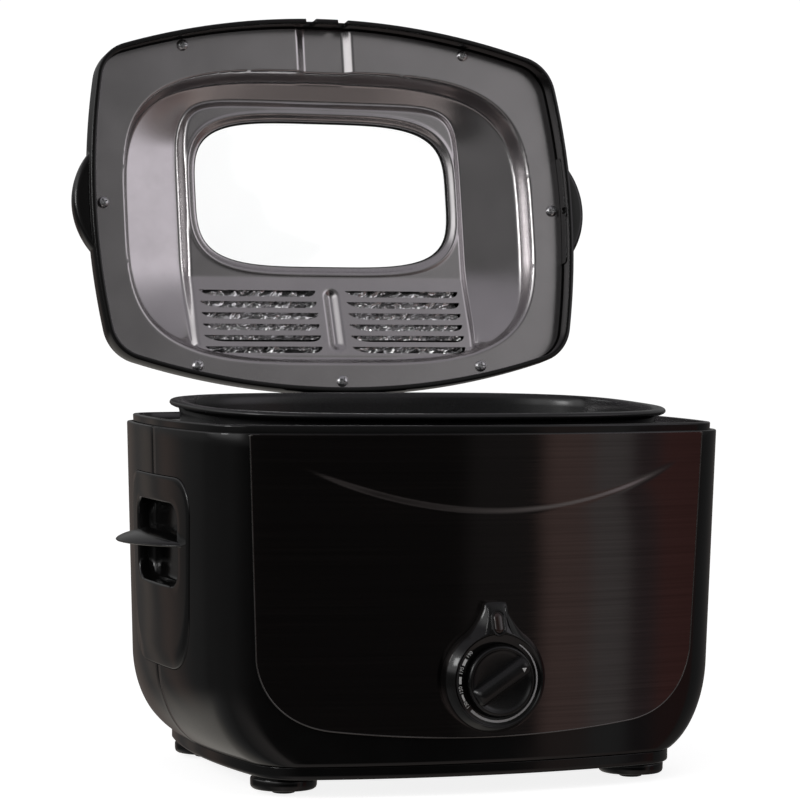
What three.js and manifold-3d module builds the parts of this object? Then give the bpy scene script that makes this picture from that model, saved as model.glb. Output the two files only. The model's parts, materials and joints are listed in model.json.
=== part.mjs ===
// A household deep fryer with its lid standing open, in millimetres, +Z up.
//
// Everything is drawn with the body's middle at x = 0, y = 0 and the table at z = 0.
// The front looks along -Y. The lid is drawn closed, flat on the body, inside a group
// that turns about the hinge axis. The last lines move the whole object so that the
// origin is the bottom centre of its bounding box.

import * as THREE from 'three';
import { mergeVertices } from 'three/addons/utils/BufferGeometryUtils.js';
import Module from 'manifold-3d';

const wasm = await Module();
wasm.setup();

// ---- Driving dimensions -----------------------------------------------------------

const GAP = 0.3;                 // air between two pieces that touch

const BODY_HALF_WIDTH = 186;     // at the top edge
const BODY_HALF_DEPTH = 139;
const BODY_TOP = 231.4;
const BODY_BOTTOM = 20.4;
const BODY_TAPER = 0.03;         // each wall leans in by this much per millimetre down
const BODY_CORNER = 32;
const BODY_WALL = 3;
const FRONT_ARC = 525;           // plan radius of the front and rear walls
const SIDE_ARC = 515;            // plan radius of the side walls
const BELLY_TOP = 76;            // below this height the sides curl in
const BELLY_FLOOR = 16.5;
const BELLY_WIDTH = 41;

const BASE_BOTTOM = 12;
const BASE_FLOOR = 3;

const FOOT_X = 121.8;
const FOOT_Y = 84.8;
const FOOT_RADIUS = 21.5;
const PAD_RADIUS = 7.5;
const PAD_HEIGHT = 3;

const COLLAR_INSET = 4;
const COLLAR_TOP = 236.4;
const COLLAR_FOOT = 219;
const DECK_TOP = 232;
const DECK_THICKNESS = 2.5;

const PANEL_TOP = 230.6;
const PANEL_HALF_TOP = 156.5;
const PANEL_HALF_LOW = 150.5;
const PANEL_PROUD = 1.4;

const KNOB_Z = 75.2;
const KNOB_RADIUS = 22.3;
const KNOB_BASE = 5;
const KNOB_BAR_HEIGHT = 5;
const KNOB_BAR_WIDTH = 11;
const KNOB_BAR_ANGLE = THREE.MathUtils.degToRad(33);
const SHAFT_RADIUS = 3;
const BEZEL_RADIUS = 34.5;
const BEZEL_TIP_Z = 124.5;
const BEZEL_TIP_HALF = 7.5;
const BEZEL_FACE_Y = -149.5;     // the dial's face
const BEZEL_FACE_RADIUS = 30;
const BEZEL_RIM_Y = -143;        // where the outer edge starts to slope to the face
const LENS_Z = 111.5;
const LENS_HALF_WIDTH = 3.2;
const LENS_HALF_HEIGHT = 6.5;
const LENS_FACE_Y = -148.6;
const LENS_STEM = 2.6;
const THERMOSTAT_HALF = 18;
const THERMOSTAT_DEPTH = 24;

const INSERT_TOP = 200;
const INSERT_BOTTOM = 75;
const INSERT_HALF = 66;
const POCKET_TOP = 182.5;
const POCKET_BOTTOM = 129;
const POCKET_HALF = 45;
const POCKET_CORNER = 12;
const POCKET_FLOOR_X = 170.5;    // distance of the pocket's back from the middle plane
const FIN_Z = 158.8;
const FIN_THICKNESS = 7;
const FIN_HALF = 55;
const FIN_TIP_X = 208;

const HINGE_Y = 142.4;
const HINGE_Z = 243.5;
const KNUCKLE_RADIUS = 4.8;
const PIN_RADIUS = 2.2;
const LUG_HALF = 29.5;
const BRACKET_HALF = 46;
const LID_OPEN = THREE.MathUtils.degToRad(100.6);

const LID_HALF_WIDTH = 184.1;
const LID_HALF_DEPTH = 137.8;
const LID_CORNER = 30;
const FLANGE_Z = 252;            // lower face of the liner's flange with the lid closed
const LIP_DROP = 13;             // how far the cover's lip hangs below the flange
const LIP_WIDTH = 4;
const LINER_SHEET = 1.2;
const COVER_CROWN = 31;          // the cover's top above the flange
const COVER_SHEET = 2.6;
const WINDOW_Y = -14;            // the window lies forward of the lid's middle
const WINDOW_HALF_WIDTH = 98;
const WINDOW_HALF_DEPTH = 54.5;
const WINDOW_SQUARENESS = 3.9;   // exponent of the oval plan
const WINDOW_DEPTH = 20.5;       // of the window's edge behind the flange
const GASKET_THICKNESS = 1.6;
const LINER_EDGE = 4.6;          // the liner's edge, inside the lid's outline
const RIM_Y = 7;                 // where the flange turns down into the dish
const RIM_HALF_WIDTH = 156;
const RIM_HALF_DEPTH = 108;
const RIM_SQUARENESS = 3.6;
const RIM_WALL = 4.7;
const RIM_DEPTH = [15.5, 4];     // behind the flange, at the window and next to the hinge
const TRENCH_HALF = 110;         // deepest line of the dish, round the raised frame
const TRENCH_DEPTH = [25.5, 8.5];
const FRAME_DEPTH = [18.5, 5];   // raised frame round the window and the grille
const FRAME_WALL = 5.5;
const FRAME_FRONT = -80.5;
const FRAME_REAR = 106.5;
const FRAME_SQUARENESS = 14;
const SLOPE_FRONT = 48;          // the dish grows shallow from here to its rear edge
const SLOPE_REAR = 108;
const LOUVRE_ROWS = 6;
const LOUVRE_PITCH = 8.5;
const LOUVRE_LENGTH = 88;
const LOUVRE_HEIGHT = 4.4;
const LOUVRE_FIRST = 60.5;
const LOUVRE_MIDDLE = 55.6;
const NOTCH_X = 12.3;
const NOTCH_WIDTH = 8;
const NOTCH_DEPTH = 8;
const EAR_CHORD_HALF = 33;
const EAR_REACH = 11;
const EAR_LOW = -7;
const EAR_HIGH = 7;
const SCREW_RADIUS = 4.1;
const SCREW_SHANK = 1.6;
const FILTER_Y = 73;
const FILTER_HALF_WIDTH = 100;
const FILTER_HALF_DEPTH = 24;
const FILTER_SEAT = 26.4;        // where the filter pad meets its cover
const FILTER_WALL = 2;
const FILTER_FLANGE = 2.4;

const BOWL_RIM_Z = 246.4;
const BOWL_TILT = THREE.MathUtils.degToRad(1.7);
const BOWL_DEPTH = 125;
const BOWL_HALF_WIDTH = 164.6;
const BOWL_HALF_DEPTH = 115;
const BOWL_SQUARENESS = 3;       // exponent of the oval plan
const BASKET_TOP = -14;          // measured from the bowl's rim
const BASKET_FLOOR = -108;
const BASKET_INSET = 17;
const HANDLE_PIVOT = new THREE.Vector2(-88, -22);
const HANDLE_FOLD = THREE.MathUtils.degToRad(170);
const WIRE_RADIUS = 1.9;
const GRIP_START = -52;          // the basket handle's grip, with the handle swung out
const GRIP_END = -138;
const GRIP_Z = 32;
const GRIP_HALF_WIDTH = 17;

const DECK_HALF_WIDTH = 161;     // opening in the deck
const DECK_HALF_DEPTH = 111;
const WELL_HALF_WIDTH = 163.5;
const WELL_HALF_DEPTH = 113.5;
const WELL_FLOOR = 104;
const PLATE_TOP = 118.2;
const PLATE_THICKNESS = 4;
const ELEMENT_RING = 62;
const ELEMENT_RADIUS = 3.5;
const CUTOUT_RADIUS = 11;

const GLAND_X = 95;
const GLAND_Z = 48;
const GLAND_RADIUS = 7;
const GLAND_BORE = 3.6;

// ---- Materials --------------------------------------------------------------------

const material = (color, roughness, metalness) =>
  new THREE.MeshStandardMaterial({ color, roughness, metalness });

const glossBlack = material(0x0b0b0c, 0.25, 0);
const satinBlack = material(0x17171a, 0.5, 0);
const blackSteel = material(0x2a2424, 0.35, 0.9);
const satinSteel = material(0x9a9597, 0.4, 1);
const brightSteel = material(0xc8c8cc, 0.25, 1);
const nonStick = material(0x141415, 0.45, 0.1);
const rubber = material(0x101010, 0.9, 0);
const clearGlass = new THREE.MeshStandardMaterial({
  color: 0xe8f0f0, roughness: 0.05, metalness: 0, transparent: true, opacity: 0.3,
});
const amberLens = material(0x7a2a10, 0.2, 0);
const castMetal = material(0x8c8c90, 0.6, 0.8);
const cream = material(0xd8d2c0, 0.6, 0);

// ---- Shape tools ------------------------------------------------------------------

function toSolid(geometry) {
  const bare = geometry.clone();
  bare.deleteAttribute('normal');
  bare.deleteAttribute('uv');
  const merged = mergeVertices(bare, 1e-4);
  const vertProperties = new Float32Array(merged.attributes.position.array);
  const triVerts = new Uint32Array(merged.index.array);
  return new wasm.Manifold(new wasm.Mesh({ numProp: 3, vertProperties, triVerts }));
}

function toGeometry(solid) {
  const mesh = solid.getMesh();
  const geometry = new THREE.BufferGeometry();
  geometry.setAttribute('position', new THREE.BufferAttribute(mesh.vertProperties, 3));
  geometry.setIndex(new THREE.BufferAttribute(mesh.triVerts, 1));
  geometry.computeVertexNormals();
  return geometry;
}

function piece(name, shape, look, parent) {
  const geometry = shape.isBufferGeometry ? shape : toGeometry(shape);
  const mesh = new THREE.Mesh(geometry, look);
  mesh.name = name;
  parent.add(mesh);
  return mesh;
}

// A solid skinned over rings of equal point count. Each end is closed by a flat fan,
// or, when looped, the last ring joins the first as in a picture frame.
function skin(rings, looped = false) {
  const count = rings[0].length;
  const positions = rings.flat().flatMap((p) => [p.x, p.y, p.z]);
  const index = [];
  const bands = looped ? rings.length : rings.length - 1;
  for (let r = 0; r < bands; r += 1) {
    const low = r * count;
    const high = ((r + 1) % rings.length) * count;
    for (let i = 0; i < count; i += 1) {
      const j = (i + 1) % count;
      index.push(low + i, low + j, high + j, low + i, high + j, high + i);
    }
  }
  if (!looped) {
    for (const [ring, flip] of [[0, true], [rings.length - 1, false]]) {
      const hub = positions.length / 3;
      const middle = rings[ring].reduce((sum, p) => sum.add(p), new THREE.Vector3());
      middle.divideScalar(count);
      positions.push(middle.x, middle.y, middle.z);
      for (let i = 0; i < count; i += 1) {
        const a = ring * count + i;
        const b = ring * count + ((i + 1) % count);
        index.push(hub, flip ? b : a, flip ? a : b);
      }
    }
  }
  const geometry = new THREE.BufferGeometry();
  geometry.setAttribute('position', new THREE.Float32BufferAttribute(positions, 3));
  geometry.setIndex(index);
  geometry.computeVertexNormals();
  return geometry;
}

// The body's plan: shallow arcs on all four sides and a round at each corner.
function planPoints(halfWidth, halfDepth, corner) {
  const front = new THREE.Vector2(0, halfDepth - FRONT_ARC);
  const side = new THREE.Vector2(halfWidth - SIDE_ARC, 0);
  const between = side.clone().sub(front);
  const span = between.length();
  const toFront = FRONT_ARC - corner;
  const toSide = SIDE_ARC - corner;
  const along = (toFront ** 2 - toSide ** 2 + span ** 2) / (2 * span);
  const across = Math.sqrt(toFront ** 2 - along ** 2);
  const unit = between.divideScalar(span);
  const centre = new THREE.Vector2(
    front.x + along * unit.x + across * unit.y,
    front.y + along * unit.y - across * unit.x,
  );
  const frontEnd = Math.atan2(centre.y - front.y, centre.x - front.x);
  const sideEnd = Math.atan2(centre.y - side.y, centre.x - side.x);
  const arc = (middle, radius, from, to, steps) => Array.from({ length: steps }, (_, i) => {
    const angle = from + ((to - from) * i) / steps;
    return new THREE.Vector2(middle.x + radius * Math.cos(angle), middle.y + radius * Math.sin(angle));
  });
  const quarter = [
    ...arc(side, SIDE_ARC, 0, sideEnd, 2),
    ...arc(centre, corner, sideEnd, frontEnd, 4),
    ...arc(front, FRONT_ARC, frontEnd, Math.PI / 2, 3),
  ];
  const points = [];
  for (const [flipX, flipY, reverse] of [[1, 1, false], [-1, 1, true], [-1, -1, false], [1, -1, true]]) {
    const top = new THREE.Vector2(0, halfDepth);
    const right = new THREE.Vector2(halfWidth, 0);
    const run = reverse ? [top, ...quarter.slice(1).reverse()] : quarter;
    const first = reverse ? top : right;
    run[0] = first;
    points.push(...run.map((p) => new THREE.Vector2(p.x * flipX, p.y * flipY)));
  }
  return points;
}

const PLAN_ANGLES = planPoints(BODY_HALF_WIDTH, BODY_HALF_DEPTH, BODY_CORNER)
  .map((p) => Math.atan2(p.y, p.x));

const planRing = (halfWidth, halfDepth, corner, z) =>
  planPoints(halfWidth, halfDepth, corner).map((p) => new THREE.Vector3(p.x, p.y, z));

// An oval between an ellipse and a rectangle, sampled at the plan's own angles.
function ovalRing(halfWidth, halfDepth, z, exponent = BOWL_SQUARENESS, shiftY = 0) {
  return PLAN_ANGLES.map((angle) => {
    const c = Math.cos(angle);
    const s = Math.sin(angle);
    const sum = Math.abs(c / halfWidth) ** exponent + Math.abs(s / halfDepth) ** exponent;
    const radius = sum ** (-1 / exponent);
    return new THREE.Vector3(radius * c, radius * s + shiftY, z);
  });
}

// Rings of the body's outer skin from the top down to the base, moved out by "out".
function bodyHalfWidth(z) {
  const lean = (BODY_TOP - z) * BODY_TAPER;
  const curl = Math.min(1, Math.max(0, (BELLY_TOP - z) / (BELLY_TOP - BELLY_FLOOR)));
  return BODY_HALF_WIDTH - lean - BELLY_WIDTH * (1 - Math.sqrt(1 - curl * curl));
}

const bodyHalfDepth = (z) => BODY_HALF_DEPTH - (BODY_TOP - z) * BODY_TAPER;

function bodyRing(z, out) {
  return planRing(bodyHalfWidth(z) + out, bodyHalfDepth(z) + out, BODY_CORNER + out, z);
}

const BELLY_LEVELS = [BODY_BOTTOM, 23, 27, 33, 41, 51, 62, BELLY_TOP];

function bodySolid(out, low, high) {
  const levels = [...BELLY_LEVELS.map((z) => (z === BODY_BOTTOM ? low : z)), high];
  const rings = levels.map((z) => {
    const ring = bodyRing(Math.max(z, BODY_BOTTOM), out);
    ring.forEach((p) => { p.z = z; });
    return ring;
  });
  return toSolid(skin(rings));
}

const sideways = new THREE.Matrix4().makeBasis(
  new THREE.Vector3(0, 1, 0), new THREE.Vector3(0, 0, 1), new THREE.Vector3(1, 0, 0),
);
const forwards = new THREE.Matrix4().makeBasis(
  new THREE.Vector3(1, 0, 0), new THREE.Vector3(0, 0, 1), new THREE.Vector3(0, -1, 0),
);

function prism(shape, depth, matrix, steps = 8) {
  const geometry = new THREE.ExtrudeGeometry(shape, { depth, bevelEnabled: false, curveSegments: steps });
  if (matrix) geometry.applyMatrix4(matrix);
  return geometry;
}

function boxAt(x0, x1, y0, y1, z0, z1) {
  const geometry = new THREE.BoxGeometry(x1 - x0, y1 - y0, z1 - z0);
  geometry.translate((x0 + x1) / 2, (y0 + y1) / 2, (z0 + z1) / 2);
  return geometry;
}

// A cylinder whose axis is "x", "y" or "z", from one station to another.
function rod(axis, radius, from, to, at, sides = 16, radiusEnd = radius) {
  const geometry = new THREE.CylinderGeometry(radiusEnd, radius, to - from, sides);
  geometry.translate(0, (from + to) / 2, 0);
  if (axis === 'z') geometry.rotateX(Math.PI / 2);
  if (axis === 'x') geometry.rotateZ(-Math.PI / 2);
  geometry.translate(at.x ?? 0, at.y ?? 0, at.z ?? 0);
  return geometry;
}

function roundedShape(halfWidth, halfHeight, radius, x = 0, y = 0) {
  const shape = new THREE.Shape();
  shape.moveTo(x - halfWidth + radius, y - halfHeight);
  shape.lineTo(x + halfWidth - radius, y - halfHeight);
  shape.absarc(x + halfWidth - radius, y - halfHeight + radius, radius, -Math.PI / 2, 0);
  shape.lineTo(x + halfWidth, y + halfHeight - radius);
  shape.absarc(x + halfWidth - radius, y + halfHeight - radius, radius, 0, Math.PI / 2);
  shape.lineTo(x - halfWidth + radius, y + halfHeight);
  shape.absarc(x - halfWidth + radius, y + halfHeight - radius, radius, Math.PI / 2, Math.PI);
  shape.lineTo(x - halfWidth, y - halfHeight + radius);
  shape.absarc(x - halfWidth + radius, y - halfHeight + radius, radius, Math.PI, 1.5 * Math.PI);
  return shape;
}

// ---- Groups -----------------------------------------------------------------------

const fryer = new THREE.Group();
const housing = new THREE.Group();
const lid = new THREE.Group();
const bowlGroup = new THREE.Group();
fryer.add(housing, lid, bowlGroup);

lid.position.set(0, HINGE_Y, HINGE_Z);
lid.rotation.x = -LID_OPEN;
const lidParts = new THREE.Group();
lidParts.position.set(0, -HINGE_Y, FLANGE_Z - HINGE_Z);
lid.add(lidParts);

bowlGroup.position.z = BOWL_RIM_Z;
bowlGroup.rotation.x = BOWL_TILT;

// ---- Side handles -----------------------------------------------------------------

function insertShape(grow) {
  const half = INSERT_HALF + grow;
  const top = INSERT_TOP + grow;
  const bottom = INSERT_BOTTOM - grow;
  const shape = new THREE.Shape();
  shape.moveTo(half - 24, top);
  shape.lineTo(-half + 24, top);
  shape.quadraticCurveTo(-half, top, -half, top - 24);
  shape.lineTo(-half + 4, bottom + 36);
  shape.quadraticCurveTo(-half + 6, bottom, -half + 36, bottom);
  shape.lineTo(half - 36, bottom);
  shape.quadraticCurveTo(half - 6, bottom, half - 4, bottom + 36);
  shape.lineTo(half, top - 24);
  shape.quadraticCurveTo(half, top, half - 24, top);
  return shape;
}

const pocketShape = (grow) => roundedShape(
  POCKET_HALF + grow, (POCKET_TOP - POCKET_BOTTOM) / 2 + grow, POCKET_CORNER + grow,
  0, (POCKET_TOP + POCKET_BOTTOM) / 2,
);

const sidePrism = (shape, from, to, steps) => {
  const geometry = prism(shape, to - from, sideways, steps);
  geometry.translate(from, 0, 0);
  return toSolid(geometry);
};

function handleInsert() {
  const outer = bodySolid(0.8, BODY_BOTTOM, BODY_TOP);
  const inner = bodySolid(-3.6, BODY_BOTTOM - 1, BODY_TOP + 1);
  const plate = outer.subtract(inner).intersect(sidePrism(insertShape(0), 150, 200, 4));
  const back = POCKET_FLOOR_X;
  const tub = sidePrism(pocketShape(2), back - 2, 182, 3).intersect(bodySolid(-1, BODY_BOTTOM, BODY_TOP));
  const hollow = sidePrism(pocketShape(0), back, 200, 3);
  const sagitta = FIN_TIP_X - 180;
  const finRadius = (FIN_HALF ** 2 + sagitta ** 2) / (2 * sagitta);
  const finAt = { x: FIN_TIP_X - finRadius, z: FIN_Z };
  const disc = rod('z', finRadius, -FIN_THICKNESS / 2, FIN_THICKNESS / 2, finAt, 40);
  const reach = boxAt(back - 0.5, FIN_TIP_X + 1, -FIN_HALF, FIN_HALF, FIN_Z - 10, FIN_Z + 10);
  const fin = toSolid(disc).intersect(toSolid(reach));
  return plate.add(tub).subtract(hollow).add(fin);
}

const insertSolid = handleInsert();
piece('handle_insert_right', insertSolid, satinBlack, housing);
piece('handle_insert_left', insertSolid, satinBlack, housing).rotation.z = Math.PI;

// ---- Housing shells ---------------------------------------------------------------

const frontPrism = (shape, from, to, steps) => {
  const geometry = prism(shape, to - from, forwards, steps);
  geometry.translate(0, -from, 0);
  return toSolid(geometry);
};

function housingShell() {
  const cavity = bodySolid(-BODY_WALL, BODY_BOTTOM - 5, BODY_TOP + 5);
  const windowRight = sidePrism(insertShape(0.4), 150, 220, 4);
  const windowLeft = sidePrism(insertShape(0.4), -220, -150, 4);
  const shaftHole = toSolid(rod('y', SHAFT_RADIUS + 2, -160, -110, { z: KNOB_Z }));
  const lensHole = toSolid(rod('y', LENS_STEM + 1, -160, -110, { z: LENS_Z }));
  const glandHole = toSolid(rod('y', GLAND_RADIUS + GAP, 110, 160, { x: GLAND_X, z: GLAND_Z }));
  return bodySolid(0, BODY_BOTTOM, BODY_TOP)
    .subtract(cavity).subtract(windowRight).subtract(windowLeft)
    .subtract(shaftHole).subtract(lensHole).subtract(glandHole);
}

const shell = housingShell();
const frontHalf = toSolid(boxAt(-220, 220, -200, -GAP / 2, 0, 300));
const rearHalf = toSolid(boxAt(-220, 220, GAP / 2, 200, 0, 300));
piece('front_housing', shell.intersect(frontHalf), glossBlack, housing);
piece('rear_housing', shell.intersect(rearHalf), glossBlack, housing);

// ---- Base, feet, collar -----------------------------------------------------------

function basePlate() {
  const width = bodyHalfWidth(BODY_BOTTOM) - 1;
  const depth = bodyHalfDepth(BODY_BOTTOM) - 1;
  const floor = BASE_BOTTOM + BASE_FLOOR;
  const top = BODY_BOTTOM - GAP;
  return skin([
    planRing(width - 4, depth - 4, 26, BASE_BOTTOM),
    planRing(width, depth, BODY_CORNER, floor),
    planRing(width, depth, BODY_CORNER, top),
    planRing(width - BODY_WALL, depth - BODY_WALL, BODY_CORNER - BODY_WALL, top),
    planRing(width - BODY_WALL, depth - BODY_WALL, BODY_CORNER - BODY_WALL, floor + 0.5),
  ]);
}

piece('base_plate', basePlate(), satinBlack, housing);

for (const [side, x] of [['left', -FOOT_X], ['right', FOOT_X]]) {
  for (const [end, y] of [['front', -FOOT_Y], ['rear', FOOT_Y]]) {
    const stem = rod('z', FOOT_RADIUS - 1.5, PAD_HEIGHT, BASE_BOTTOM - GAP, {}, 24, FOOT_RADIUS);
    piece(`foot_${end}_${side}`, stem, satinBlack, housing).position.set(x, y, 0);
    const pad = rod('z', PAD_RADIUS, 0, PAD_HEIGHT - GAP, {}, 16);
    piece(`foot_pad_${end}_${side}`, pad, rubber, housing).position.set(x, y, 0);
  }
}

function topCollar() {
  const width = BODY_HALF_WIDTH - COLLAR_INSET;
  const depth = BODY_HALF_DEPTH - COLLAR_INSET;
  const round = BODY_CORNER - COLLAR_INSET;
  const frame = (inset, z) => planRing(width - inset, depth - inset, round - inset, z);
  return skin([
    frame(1.2, COLLAR_FOOT),
    frame(0, COLLAR_TOP - 1),
    frame(1, COLLAR_TOP),
    frame(3, COLLAR_TOP),
    frame(4, DECK_TOP),
    ovalRing(DECK_HALF_WIDTH, DECK_HALF_DEPTH, DECK_TOP),
    ovalRing(DECK_HALF_WIDTH, DECK_HALF_DEPTH, DECK_TOP - DECK_THICKNESS),
    frame(4.2, DECK_TOP - DECK_THICKNESS),
    frame(4.2, COLLAR_FOOT),
  ], true);
}

piece('top_collar', topCollar(), glossBlack, housing);

// ---- Front panel, dial surround, lens ---------------------------------------------

function panelShape() {
  const shape = new THREE.Shape();
  const knee = new THREE.Vector2(PANEL_HALF_LOW, 88);
  const heel = new THREE.Vector2(104, 43);
  shape.moveTo(-PANEL_HALF_TOP, PANEL_TOP);
  shape.lineTo(-knee.x, knee.y);
  shape.bezierCurveTo(-148, 66, -133, 47, -heel.x, heel.y);
  shape.quadraticCurveTo(0, 31, heel.x, heel.y);
  shape.bezierCurveTo(133, 47, 148, 66, knee.x, knee.y);
  shape.lineTo(PANEL_HALF_TOP, PANEL_TOP);
  shape.closePath();
  return shape;
}

function frontPanel() {
  const sheet = bodySolid(PANEL_PROUD, BODY_BOTTOM, BODY_TOP)
    .subtract(bodySolid(GAP, BODY_BOTTOM - 1, BODY_TOP + 1));
  const hole = toSolid(rod('y', SHAFT_RADIUS + 2, -160, -110, { z: KNOB_Z }));
  const lensHole = toSolid(rod('y', LENS_STEM + 1, -160, -110, { z: LENS_Z }));
  return sheet.intersect(frontPrism(panelShape(), 100, 150, 8)).subtract(hole).subtract(lensHole);
}

piece('front_panel', frontPanel(), blackSteel, housing);

// A disc that rises to a soft point above the dial.
function bezelShape() {
  const shape = new THREE.Shape();
  const start = THREE.MathUtils.degToRad(58);
  const reach = BEZEL_RADIUS * Math.cos(start);
  const shoulder = KNOB_Z + BEZEL_RADIUS * Math.sin(start);
  shape.absarc(0, KNOB_Z, BEZEL_RADIUS, Math.PI - start, 2 * Math.PI + start, false);
  shape.quadraticCurveTo(9.5, shoulder + 7, BEZEL_TIP_HALF, BEZEL_TIP_Z);
  shape.quadraticCurveTo(0, BEZEL_TIP_Z + 2, -BEZEL_TIP_HALF, BEZEL_TIP_Z);
  shape.quadraticCurveTo(-9.5, shoulder + 7, -reach, shoulder);
  return shape;
}

const lensShape = (grow) => roundedShape(
  LENS_HALF_WIDTH + grow, LENS_HALF_HEIGHT + grow, LENS_HALF_WIDTH + grow - 0.1, 0, LENS_Z,
);
const LENS_SEAT_Y = BEZEL_RIM_Y - 1;

// A plinth on the panel, a dished disc on it, and a ridge that runs up to the tip.
function knobBezel() {
  const plinth = frontPrism(bezelShape(), 100, -BEZEL_RIM_Y, 16);
  const disc = rod('y', BEZEL_FACE_RADIUS, BEZEL_FACE_Y, BEZEL_RIM_Y + 1, { z: KNOB_Z }, 40, BEZEL_RADIUS);
  const side = new THREE.Shape();
  side.moveTo(BEZEL_RIM_Y + 1, KNOB_Z + 24);
  side.lineTo(BEZEL_FACE_Y, KNOB_Z + 24);
  side.lineTo(BEZEL_FACE_Y, KNOB_Z + 27);
  side.lineTo(BEZEL_RIM_Y, BEZEL_TIP_Z);
  side.lineTo(BEZEL_RIM_Y + 1, BEZEL_TIP_Z);
  const ridge = sidePrism(side, -BEZEL_TIP_HALF, BEZEL_TIP_HALF);
  const behind = bodySolid(PANEL_PROUD + GAP, BODY_BOTTOM, BODY_TOP);
  const hole = toSolid(rod('y', SHAFT_RADIUS + 2, -160, -110, { z: KNOB_Z }));
  const stemHole = toSolid(rod('y', LENS_STEM + GAP, -160, -110, { z: LENS_Z }));
  const seat = frontPrism(lensShape(GAP), -LENS_SEAT_Y, 160, 6);
  return plinth.add(toSolid(disc)).add(ridge)
    .subtract(behind).subtract(hole).subtract(stemHole).subtract(seat);
}

function indicatorLens() {
  const head = frontPrism(lensShape(0), -LENS_SEAT_Y + GAP, -LENS_FACE_Y, 6);
  const stem = toSolid(rod('y', LENS_STEM, LENS_SEAT_Y - 1, -129.5, { z: LENS_Z }, 12));
  return head.add(stem);
}

piece('knob_bezel', knobBezel(), glossBlack, housing);
piece('indicator_lens', indicatorLens(), amberLens, housing);

// ---- Thermostat -------------------------------------------------------------------

const WALL_INSIDE_Y = -(bodyHalfDepth(KNOB_Z) - BODY_WALL);
const KNOB_BACK_Y = BEZEL_FACE_Y - GAP;
const thermostatFront = WALL_INSIDE_Y + 2;

piece('thermostat_body', boxAt(
  -THERMOSTAT_HALF, THERMOSTAT_HALF, thermostatFront, thermostatFront + THERMOSTAT_DEPTH,
  KNOB_Z - THERMOSTAT_HALF, KNOB_Z + THERMOSTAT_HALF,
), castMetal, housing);

const SHAFT_FRONT_Y = KNOB_BACK_Y - 7;
piece('thermostat_shaft', rod('y', SHAFT_RADIUS, SHAFT_FRONT_Y, thermostatFront - GAP, { z: KNOB_Z }, 16),
  brightSteel, fryer);

function thermostatKnob() {
  const base = rod('y', KNOB_RADIUS, -KNOB_BASE, 0, {}, 40, KNOB_RADIUS);
  const bar = prism(roundedShape(KNOB_RADIUS - 2.5, KNOB_BAR_WIDTH / 2, 4), KNOB_BAR_HEIGHT, forwards, 3);
  bar.translate(0, -KNOB_BASE, 0);
  bar.rotateY(-KNOB_BAR_ANGLE);
  const bore = rod('y', SHAFT_RADIUS + GAP, SHAFT_FRONT_Y - KNOB_BACK_Y - GAP, 1, {}, 16);
  return toSolid(base).add(toSolid(bar)).subtract(toSolid(bore));
}

piece('thermostat_knob', thermostatKnob(), satinBlack, fryer).position.set(0, KNOB_BACK_Y, KNOB_Z);

// ---- Heater, inner well, wiring pieces --------------------------------------------

piece('inner_well', skin([
  ovalRing(WELL_HALF_WIDTH - 12, WELL_HALF_DEPTH - 12, WELL_FLOOR),
  ovalRing(WELL_HALF_WIDTH - 3, WELL_HALF_DEPTH - 3, WELL_FLOOR + 8),
  ovalRing(WELL_HALF_WIDTH, WELL_HALF_DEPTH, DECK_TOP - DECK_THICKNESS - GAP),
  ovalRing(WELL_HALF_WIDTH - 1, WELL_HALF_DEPTH - 1, DECK_TOP - DECK_THICKNESS - GAP),
  ovalRing(WELL_HALF_WIDTH - 4, WELL_HALF_DEPTH - 4, WELL_FLOOR + 8),
  ovalRing(WELL_HALF_WIDTH - 13, WELL_HALF_DEPTH - 13, WELL_FLOOR + 1),
]), satinSteel, housing);

piece('heating_plate', skin([
  ovalRing(112, 74, PLATE_TOP - PLATE_THICKNESS),
  ovalRing(112, 74, PLATE_TOP),
]), castMetal, housing);

const element = new THREE.TorusGeometry(ELEMENT_RING, ELEMENT_RADIUS, 6, 28);
piece('heating_element', element, brightSteel, housing)
  .position.set(0, 0, PLATE_TOP - PLATE_THICKNESS - GAP - ELEMENT_RADIUS);

piece('thermal_cutout', rod('z', CUTOUT_RADIUS, WELL_FLOOR - 9, WELL_FLOOR - GAP, { x: 40 }, 16),
  castMetal, housing);
piece('terminal_block', boxAt(GLAND_X - 22, GLAND_X + 8, 60, 90, 18, 36), cream, housing);

function cordGland() {
  const rear = bodyHalfDepth(GLAND_Z);
  const at = { x: GLAND_X, z: GLAND_Z };
  const neck = rod('y', GLAND_RADIUS, rear - 14, rear + 1, at, 16);
  const collar = rod('y', GLAND_RADIUS + 3, rear + 0.5, rear + 7, at, 24, GLAND_RADIUS + 1);
  const bore = rod('y', GLAND_BORE, rear - 20, rear + 12, at, 12);
  return toSolid(neck).add(toSolid(collar)).subtract(toSolid(bore));
}

piece('cord_gland', cordGland(), rubber, housing);

// ---- Hinge ------------------------------------------------------------------------

const axisAt = { y: HINGE_Y, z: HINGE_Z };
const knuckleBore = toSolid(rod('x', PIN_RADIUS + 0.08, -60, 60, axisAt));

function hingeBracket() {
  const barrel = toSolid(rod('x', KNUCKLE_RADIUS, -BRACKET_HALF, BRACKET_HALF, axisAt, 24));
  const block = toSolid(boxAt(-BRACKET_HALF, BRACKET_HALF, 120, HINGE_Y + 4.5, 204, HINGE_Z - 1));
  const foot = toSolid(boxAt(-BRACKET_HALF - 1, BRACKET_HALF + 1, 100, HINGE_Y - 3.9, 236, HINGE_Z + 1));
  const gap = toSolid(boxAt(-LUG_HALF - 0.5, LUG_HALF + 0.5, 120, 170, 233, 260));
  const collar = toSolid(boxAt(-60, 60, 100, 137.5, 225, 238));
  const body = bodySolid(GAP, BODY_BOTTOM, BODY_TOP + GAP).add(collar);
  return barrel.add(block).subtract(foot).subtract(gap).subtract(body).subtract(knuckleBore);
}

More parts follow.
